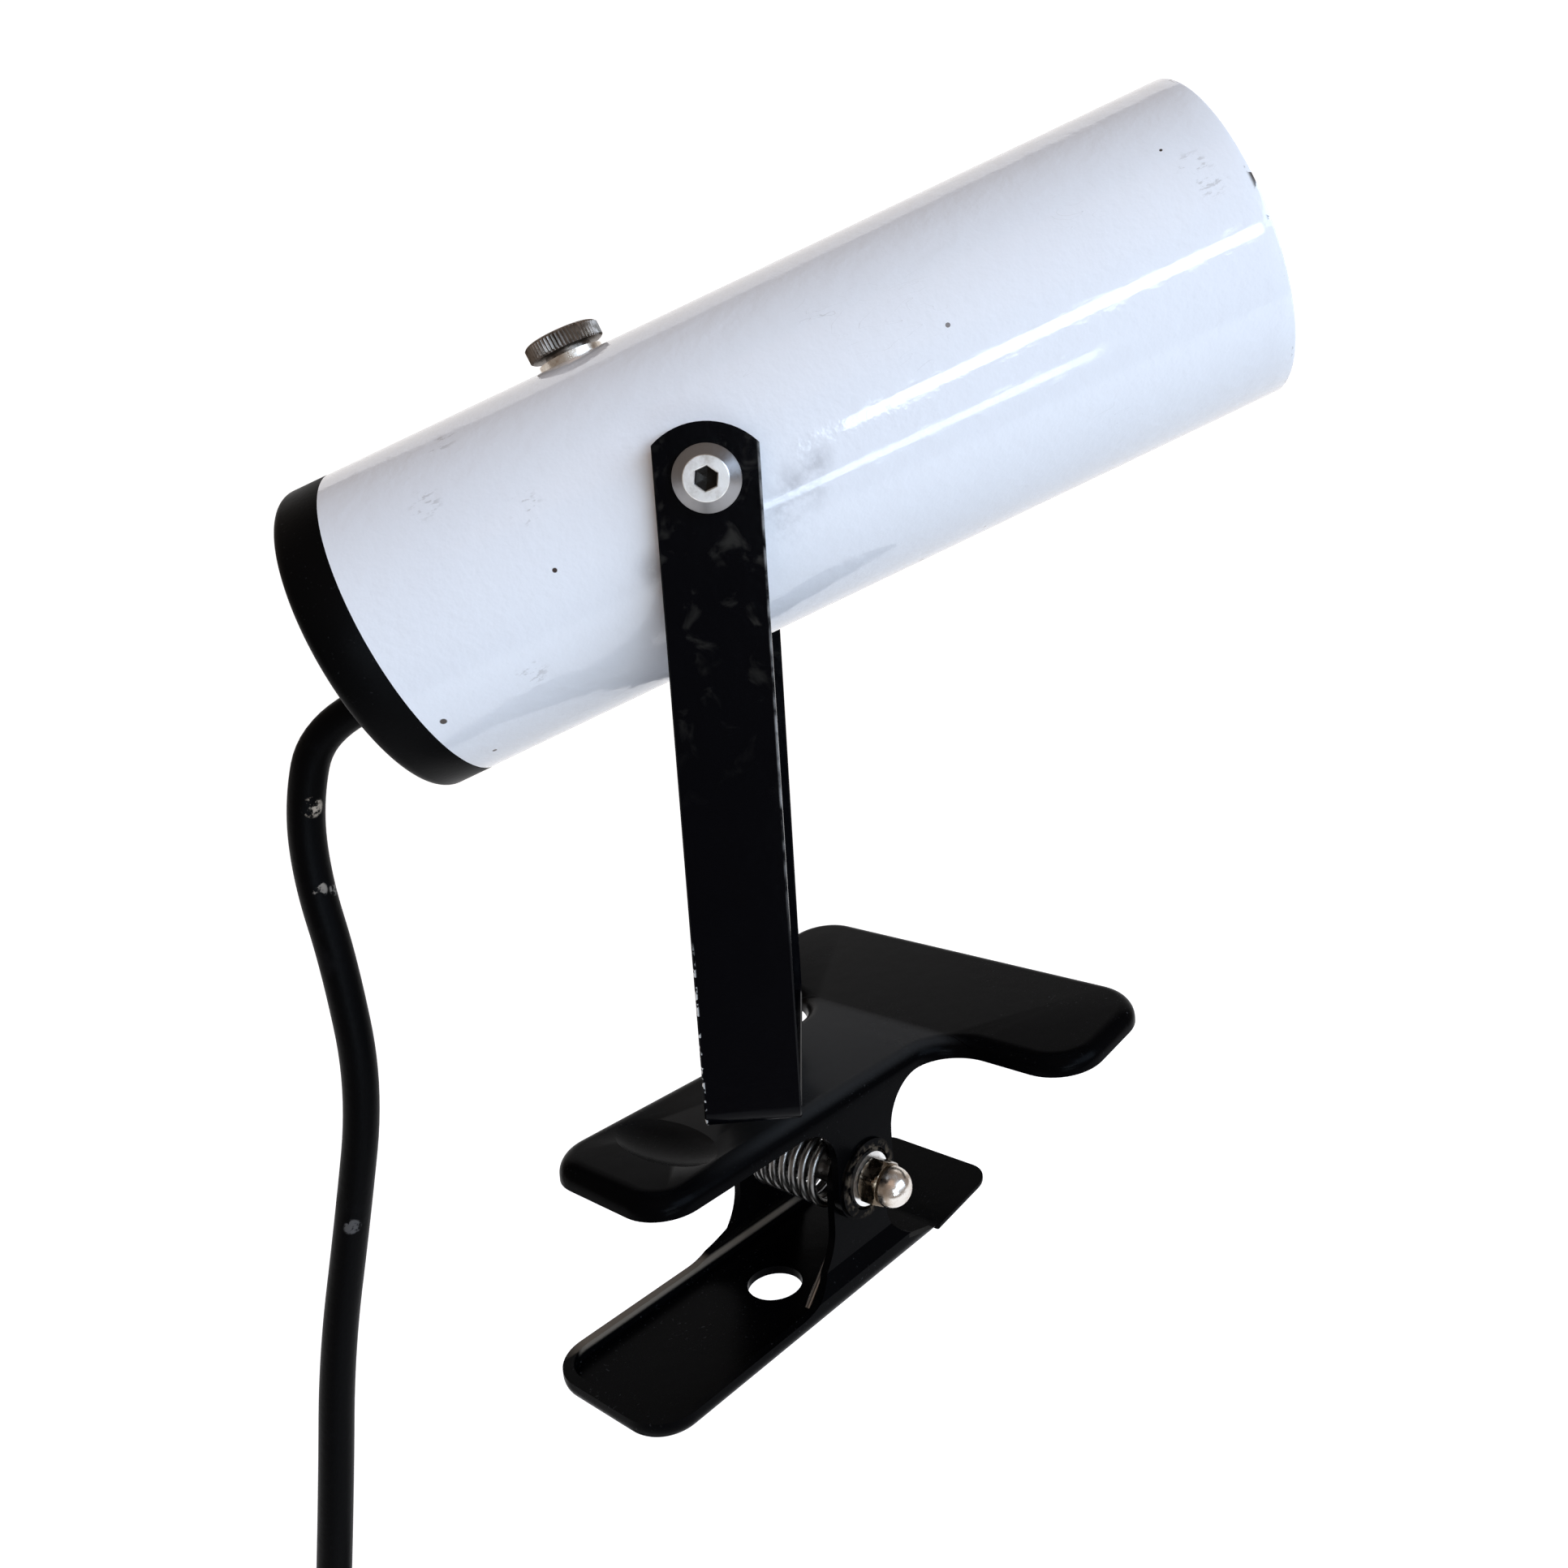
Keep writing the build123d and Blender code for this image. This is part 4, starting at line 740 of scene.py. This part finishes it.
def cone_screw(sides=96):
    """Turned head with fine grooves on its flank, and a hexagonal well from its face."""
    step = np.arange(grooves)
    inward = (cone_r - cone_face_r) * step / grooves + groove_depth * (step % 2)
    grooved = np.stack([cone_low + 1.3 + groove_pitch * step, cone_r - 0.17 - inward], -1)
    outer = np.vstack([
        [(screw_end, 0.0), (screw_end, screw_shank_r), (cone_low, screw_shank_r)],
        [(cone_low, cone_r - 0.4), (cone_low + 0.25, cone_r - 0.1)],
        [(cone_low + 0.6, cone_r), (cone_low + 1.1, cone_r)], grooved,
        [(cone_face - 0.12, cone_face_r + 0.05), (cone_face, cone_face_r - 0.1)],
    ])
    points, _ = lathe(outer, sides, "Y")
    hexagon = hexagon_radius(sides, socket_across)
    rings = [(cone_face, hexagon + 0.3), (cone_face - 0.25, hexagon),
             (cone_face - socket_depth, hexagon), (cone_face - socket_depth - 0.6, 0 * hexagon)]
    points = np.vstack([points, stacked_rings(rings, sides, "Y")])
    return points, grid_faces(len(outer) + len(rings), sides)


screw_points, screw_faces = cone_screw()
for side, word in ((-1, "near"), (1, "far")):
    facing = head_place @ turned_about("Z", 0 if side > 0 else 180)
    screw = make_piece(f"tilt_screw_{word}", screw_points, screw_faces, facing,
                       "head", [f"pivot_screw_{word}"], 25)
    screw.data.materials.append(alloy)
    carried(f"tilt_washer_{word}", f"pivot_spacer_{word}", "head", tape)
    carried(f"tilt_nut_{word}", f"pivot_nut_{word}", "head", alloy)

# Thumb screw
# A knurled steel knob on a plain washer shaped to the tube.  It holds the lamp holder's
# bracket inside.
thumb_at, knob_r, knob_t, knob_teeth = -17.0, 8.2, 3.8, 60
washer_t, neck_r, neck_h, knob_shank_r, knob_shank_len = 1.2, 5.0, 0.7, 2.0, 10.0
neck_low = tube_r + washer_t
knob_low = neck_low + neck_h
knob_top, knob_end = knob_low + knob_t, knob_low - knob_shank_len
tooth_depth = 0.42


def knurled(sides_per_tooth=6):
    """Turned knob whose edge has V-shaped teeth: the radius dips by a triangle wave."""
    sides = knob_teeth * sides_per_tooth
    part = np.arange(sides) / sides_per_tooth % 1
    dip = tooth_depth * (1 - np.abs(2 * part - 1))
    stations = [
        (knob_end, 0.0, 0), (knob_end, knob_shank_r, 0), (neck_low, knob_shank_r, 0),
        (neck_low, neck_r, 0), (knob_low, neck_r, 0), (knob_low, knob_r - 0.9, 0),
        (knob_low + 0.15, knob_r - 0.45, 0), (knob_low + 0.5, knob_r, 1),
        (knob_top - 0.6, knob_r, 1), (knob_top - 0.2, knob_r - 0.45, 0.2),
        (knob_top, knob_r - 0.9, 0), (knob_top, knob_r - 1.6, 0),
        (knob_top - 0.25, knob_r - 2.0, 0), (knob_top - 0.3, 0.0, 0),
    ]
    height, radius, toothed = (np.array(c)[:, None] for c in zip(*stations))
    angle = np.linspace(0, 2 * np.pi, sides, endpoint=False)
    r = radius - toothed * dip
    points = np.stack([r * np.cos(angle), r * np.sin(angle), height + 0 * angle], -1)
    return points.reshape(-1, 3), grid_faces(len(stations), sides)


steel, steel_shader, steel_coords = finish_of("dark_steel", (0.2, 0.18, 0.155), 0.35, 1.0)
steel_stain = share(noise(steel_coords, 420.0, 5.0, 0.65), 0.4, 0.7)
link(layered(steel_stain, (0.22, 0.19, 0.165), (0.09, 0.075, 0.06)), steel_shader, "Base Color")
link(between(noise(steel_coords, 1200.0, 3.0), 0.28, 0.5), steel_shader, "Roughness")
knob_points, knob_faces = knurled()
knob = make_piece("thumb_knob", knob_points, knob_faces, head_place @ moved(thumb_at, 0, 0),
                  "thumb_screw", ["thumb_screw"], 25)
knob.data.materials.append(steel)
carried("thumb_disc", "thumb_washer", "head", nickel)

# Clamp bolt, washers, domed nut and sleeve
# A steel bolt through both pairs of ears, with a plated domed nut on the near side and a
# hexagon head on the far side.  The spring's coils sit on a tube round it.
bolt_x, bolt_drop, ear_out = 14.0, 24.0, 19.0
nut_across, nut_hex_t, dome_r, nut_h, bolt_washer_t = 10.0, 5.0, 4.7, 11.0, 1.0
bolt_hole_r, nut_neck_r = 3.02, dome_r * 0.93
nut_low = ear_out + bolt_washer_t + 0.4
bolt_place = jaw_place @ moved(bolt_x, 0, -bolt_drop) @ turned_about("X", 90)


def domed_nut(sides=96):
    """Hexagon whose corners are turned off top and bottom, then a groove and a round dome."""
    hexagon = hexagon_radius(sides, nut_across)
    corner_limits = [(0.0, 5.0), (0.35, 5.45), (0.7, 6.0), (nut_hex_t - 0.9, 6.0),
                     (nut_hex_t - 0.5, 5.4), (nut_hex_t - 0.15, 5.05), (nut_hex_t, 4.9)]
    rings = [(nut_low, np.full(sides, bolt_hole_r))]
    rings += [(nut_low + up, np.minimum(hexagon, limit)) for up, limit in corner_limits]
    hexagon_top, dome_low = nut_low + nut_hex_t, nut_low + nut_h - dome_r
    rings += [(hexagon_top + up, np.full(sides, r))
              for up, r in ((0.05, nut_neck_r), (0.5, nut_neck_r), (0.7, dome_r))]
    rings += [(dome_low + dome_r * np.sin(a), np.full(sides, dome_r * np.cos(a)))
              for a in np.linspace(0, np.pi / 2, 12)]
    return stacked_rings(rings, sides), grid_faces(len(rings), sides)


nut_points, nut_faces = domed_nut()
nut = make_piece("domed_nut", nut_points, nut_faces, bolt_place,
                 "clamp", ["cap_nut"], 28)
worn_nickel, worn_shader, worn_coords = finish_of("worn_nickel", (0.55, 0.5, 0.45), 0.24, 1.0)
worn_local = own_axes(worn_coords, bolt_place)
worn_stain = share(noise(worn_coords, 380.0, 5.0, 0.6), 0.42, 0.7)
worn_hex = where(worn_local, "Z", 26.2, 25.4)
worn_colour = layered(worn_stain, (0.66, 0.62, 0.57), (0.4, 0.33, 0.26))
link(layered(worn_hex, worn_colour, (0.13, 0.1, 0.07)), worn_shader, "Base Color")
link(between(worn_stain, 0.2, 0.42), worn_shader, "Roughness")
nut.data.materials.append(worn_nickel)
carried("bolt", "clamp_bolt", "clamp", alloy)
carried("bolt_discs", "bolt_washers", "clamp", alloy)

# Spring
# Bare spring wire wound openly round the bolt's sleeve, with a straight leg from each end
# that pushes one handle away from the other.
wire_r, spring_r, spring_turns, spring_half = 1.05, 9.0, 7, 11.4
upper_leg, lower_leg, sheet, jaw_spacing, seat = 26.0, 30.0, 2.0, 53.0, 0.3


def leg_angle(drop, leg):
    """Slope at which a straight leg leaves the coil and ends at a distance from its axis."""
    reach = np.hypot(spring_r, leg)
    return np.arcsin(drop / reach) - np.arctan2(spring_r, leg)


def spring_line(steps_per_turn=40):
    """Helix between the two legs, each leg straight on from the end of the coil."""
    first = -(np.pi / 2 - leg_angle(jaw_spacing - sheet - bolt_drop - wire_r - seat, lower_leg))
    last = np.pi / 2 - leg_angle(bolt_drop - sheet - wire_r - seat, upper_leg)
    last += 2 * np.pi * spring_turns
    part = np.linspace(0, 1, int(steps_per_turn * (last - first) / (2 * np.pi)))
    turn = first + (last - first) * part
    x, z = bolt_x + spring_r * np.cos(turn), spring_r * np.sin(turn) - bolt_drop
    coil = np.stack([x, spring_half * (2 * part - 1), z], -1)
    start_way, end_way = unit(coil[0] - coil[1]), unit(coil[-1] - coil[-2])
    lower = coil[0] + start_way * np.linspace(lower_leg, lower_leg / 12, 12)[:, None]
    upper = coil[-1] + end_way * np.linspace(upper_leg / 12, upper_leg, 12)[:, None]
    return np.vstack([lower, coil, upper])


spring_points, spring_faces = tube_round(spring_line(), wire_r, 14)
spring = make_piece("spring", spring_points, spring_faces, jaw_place,
                    None, ["torsion_spring"], 60)
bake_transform(spring)
wire, wire_shader, wire_coords = finish_of("spring_steel", (0.5, 0.49, 0.47), 0.3, 1.0)
wire_rust = share(noise(wire_coords, 260.0, 5.0, 0.65), 0.55, 0.72)
wire_colour = layered(times(wire_rust, 0.6), (0.2, 0.196, 0.19), (0.09, 0.07, 0.05))
link(wire_colour, wire_shader, "Base Color")
link(between(noise(wire_coords, 900.0, 3.0), 0.2, 0.4), wire_shader, "Roughness")
spring.data.materials.append(wire)
carried("sleeve", "spring_sleeve", "clamp", wire)

# Swivel screw, spacer and lock nut
# The yoke turns on a screw through the upper jaw, lifted clear of it by a flanged fibre bush,
# and a lock nut under the sheet sets how stiff it is.
carried("swivel_head", "swivel_screw", "clamp", alloy)
carried("swivel_lock", "swivel_nut", "clamp", alloy)
carried("swivel_bush", "swivel_spacer", "clamp", tape)

# Lamp holder and its bracket
# A dark moulded holder with a brass screw shell hangs on a zinc-plated strip under the thumb
# screw, with the cord's two cores in its terminals.
zinc, zinc_shader, zinc_coords = finish_of("zinc_plate", (0.6, 0.6, 0.58), 0.42, 1.0)
zinc_spangle = noise(zinc_coords, 250.0, 5.0, 0.7)
link(layered(zinc_spangle, (0.68, 0.68, 0.66), (0.46, 0.46, 0.45)), zinc_shader, "Base Color")
brass, brass_shader, brass_coords = finish_of("brass", (0.72, 0.55, 0.27), 0.3, 1.0)
brass_stain = noise(brass_coords, 300.0, 4.0)
link(layered(brass_stain, (0.78, 0.6, 0.3), (0.5, 0.36, 0.18)), brass_shader, "Base Color")
bakelite, bakelite_shader, bakelite_coords = finish_of(
    "holder_moulding", (0.03, 0.024, 0.02), 0.38)
link(between(noise(bakelite_coords, 150.0, 4.0), 0.3, 0.5), bakelite_shader, "Roughness")
insulation, insulation_shader, insulation_coords = finish_of(
    "core_insulation", (0.32, 0.17, 0.1), 0.4)
link(between(noise(insulation_coords, 300.0, 3.0), 0.32, 0.5), insulation_shader, "Roughness")
for name, node, slot, material in (
    ("holder_strip", "holder_bracket", "bright_zinc", zinc),
    ("holder_strip_nut", "bracket_nut", "bright_zinc", zinc),
    ("holder_moulding", "lampholder_body", "holder_plastic", bakelite),
    ("holder_shell", "screw_shell", "brass", brass),
    ("holder_contact", "centre_contact", "brass", brass),
    ("holder_stem", "holder_nipple", "brass", brass),
    ("holder_stem_nut", "nipple_nut", "bright_zinc", zinc),
    ("cores", "core_wires", "core_insulation", insulation),
    ("cord_inside", "cord_stub", "black_rubber", rubber),
):
    carried(name, node, "head", material)

# Reflector lamp
# A blown glass bulb, silvered inside up to its frosted front, on an aluminium screw cap.  It
# is screwed into the holder and faces the tube's open end.
glass, glass_shader, glass_coords = finish_of("frosted_front", (0.86, 0.86, 0.84), 0.3)
glass_local = own_axes(glass_coords, head_place)
glass_face = where(glass_local, "X", 50.0, 51.5)
link(layered(glass_face, (0.72, 0.72, 0.72), (0.86, 0.86, 0.84)), glass_shader, "Base Color")
link(between(glass_face, 0.85, 0.0), glass_shader, "Metallic")
link(between(noise(glass_coords, 500.0, 3.0), 0.2, 0.4), glass_shader, "Roughness")
lamp_cap, lamp_cap_shader, lamp_cap_coords = finish_of(
    "lamp_aluminium", (0.74, 0.74, 0.75), 0.35, 1.0)
link(between(noise(lamp_cap_coords, 700.0, 3.0), 0.28, 0.48), lamp_cap_shader, "Roughness")
carried("bulb", "bulb_glass", "head", glass)
carried("bulb_screw", "bulb_cap", "head", lamp_cap)
carried("bulb_contact", "bulb_tip", "head", brass)

# Floor, backdrop and light
# Pale paper rolled out under the lamp and up behind it, two narrow windows low on the
# camera's side, two large soft lamps higher up, and dim warm light from all round.
paper_gap, paper_glow = 0.012, 0.82
paper_low = cad_box[0].z - paper_gap
paper_deep, paper_wide, paper_bend, paper_high = 3.2, 7.0, 0.8, 5.0
room_colour, room_strength = (1.0, 0.86, 0.77, 1), 0.34


def paper_sweep(across=2, bend_steps=24):
    """Sheet that runs level, turns up on a quarter circle and rises straight."""
    a = np.linspace(0, np.pi / 2, bend_steps)
    out = np.concatenate([[-0.5], paper_deep - paper_bend + paper_bend * np.sin(a), [paper_deep]])
    up = np.concatenate([[0.0], paper_bend * (1 - np.cos(a)), [paper_high]])
    side = np.linspace(-paper_wide / 2, paper_wide / 2, across)
    points = np.stack(np.broadcast_arrays(out[:, None], side[None, :], up[:, None]), -1)
    return points.reshape(-1, 3), grid_faces(len(out), across, closed_columns=False)


sweep_points, sweep_faces = paper_sweep()
camera_heading = turned_about("Z", np.degrees(np.arctan2(-camera_back.y, -camera_back.x)))
paper_mesh = bpy.data.meshes.new("paper")
paper_place = moved(0, 0, paper_low / MM) @ camera_heading
paper_points = in_metres(sweep_points / MM, paper_place)
paper_mesh.from_pydata(paper_points.tolist(), [], sweep_faces.tolist())
paper_mesh.polygons.foreach_set("use_smooth", np.ones(len(paper_mesh.polygons), bool))
paper = bpy.data.objects.new("paper", paper_mesh)
bpy.context.scene.collection.objects.link(paper)
paper_white, paper_shader, _ = finish_of("paper_white", (0.7, 0.7, 0.7), 0.95)
paper_shader.inputs["Emission Color"].default_value = (1, 1, 1, 1)
paper_rays = paper_white.node_tree.nodes.new("ShaderNodeLightPath").outputs
seen_rays = ("Is Camera Ray", "Is Glossy Ray", "Is Transmission Ray")
paper_seen = most(*[paper_rays[ray] for ray in seen_rays])
link(between(paper_seen, 0.0, paper_glow), paper_shader, "Emission Strength")
paper_mesh.materials.append(paper_white)

world = bpy.data.worlds.new("surroundings")
bpy.context.scene.world = world
world.use_nodes = True
world.node_tree.nodes["Background"].inputs["Color"].default_value = room_colour
world.node_tree.nodes["Background"].inputs["Strength"].default_value = room_strength


def lamp(name, spot, aim, size, watts, colour, roll=0.0):
    """Rectangular soft light at a spot, facing the aim, rolled about its own direction."""
    light = bpy.data.lights.new(name, "AREA")
    light.shape = "RECTANGLE"
    light.size, light.size_y = size
    light.energy = watts
    light.color = colour
    holder = bpy.data.objects.new(name, light)
    bpy.context.scene.collection.objects.link(holder)
    facing = (Vector(aim) - Vector(spot)).to_track_quat("-Z", "Y").to_matrix().to_4x4()
    holder.matrix_world = Matrix.Translation(spot) @ facing @ turned_about("Z", roll)
    return holder


daylight, shade_light, lamplight = (0.7, 0.84, 1.0), (0.6, 0.77, 1.0), (1.0, 0.7, 0.54)
window_roll = 20.0
lamp("window_upper", (-0.74, -1.16, 0.17), (-0.045, -0.07, 0.165), (0.62, 0.16), 5.0,
     daylight, window_roll)
lamp("window_lower", (-0.32, -0.5, -0.13), (-0.03, -0.04, 0.165), (0.28, 0.05), 0.45,
     daylight, window_roll)
lamp("soft_side", (0.1, -1.6, 0.75), (-0.05, -0.03, 0.14), (1.5, 0.9), 27.5, shade_light)
lamp("soft_above", (-1.5, -1.0, 1.7), (-0.05, -0.03, 0.12), (1.8, 1.8), 3.4, lamplight)

bpy.context.scene.view_settings.view_transform = "Standard"
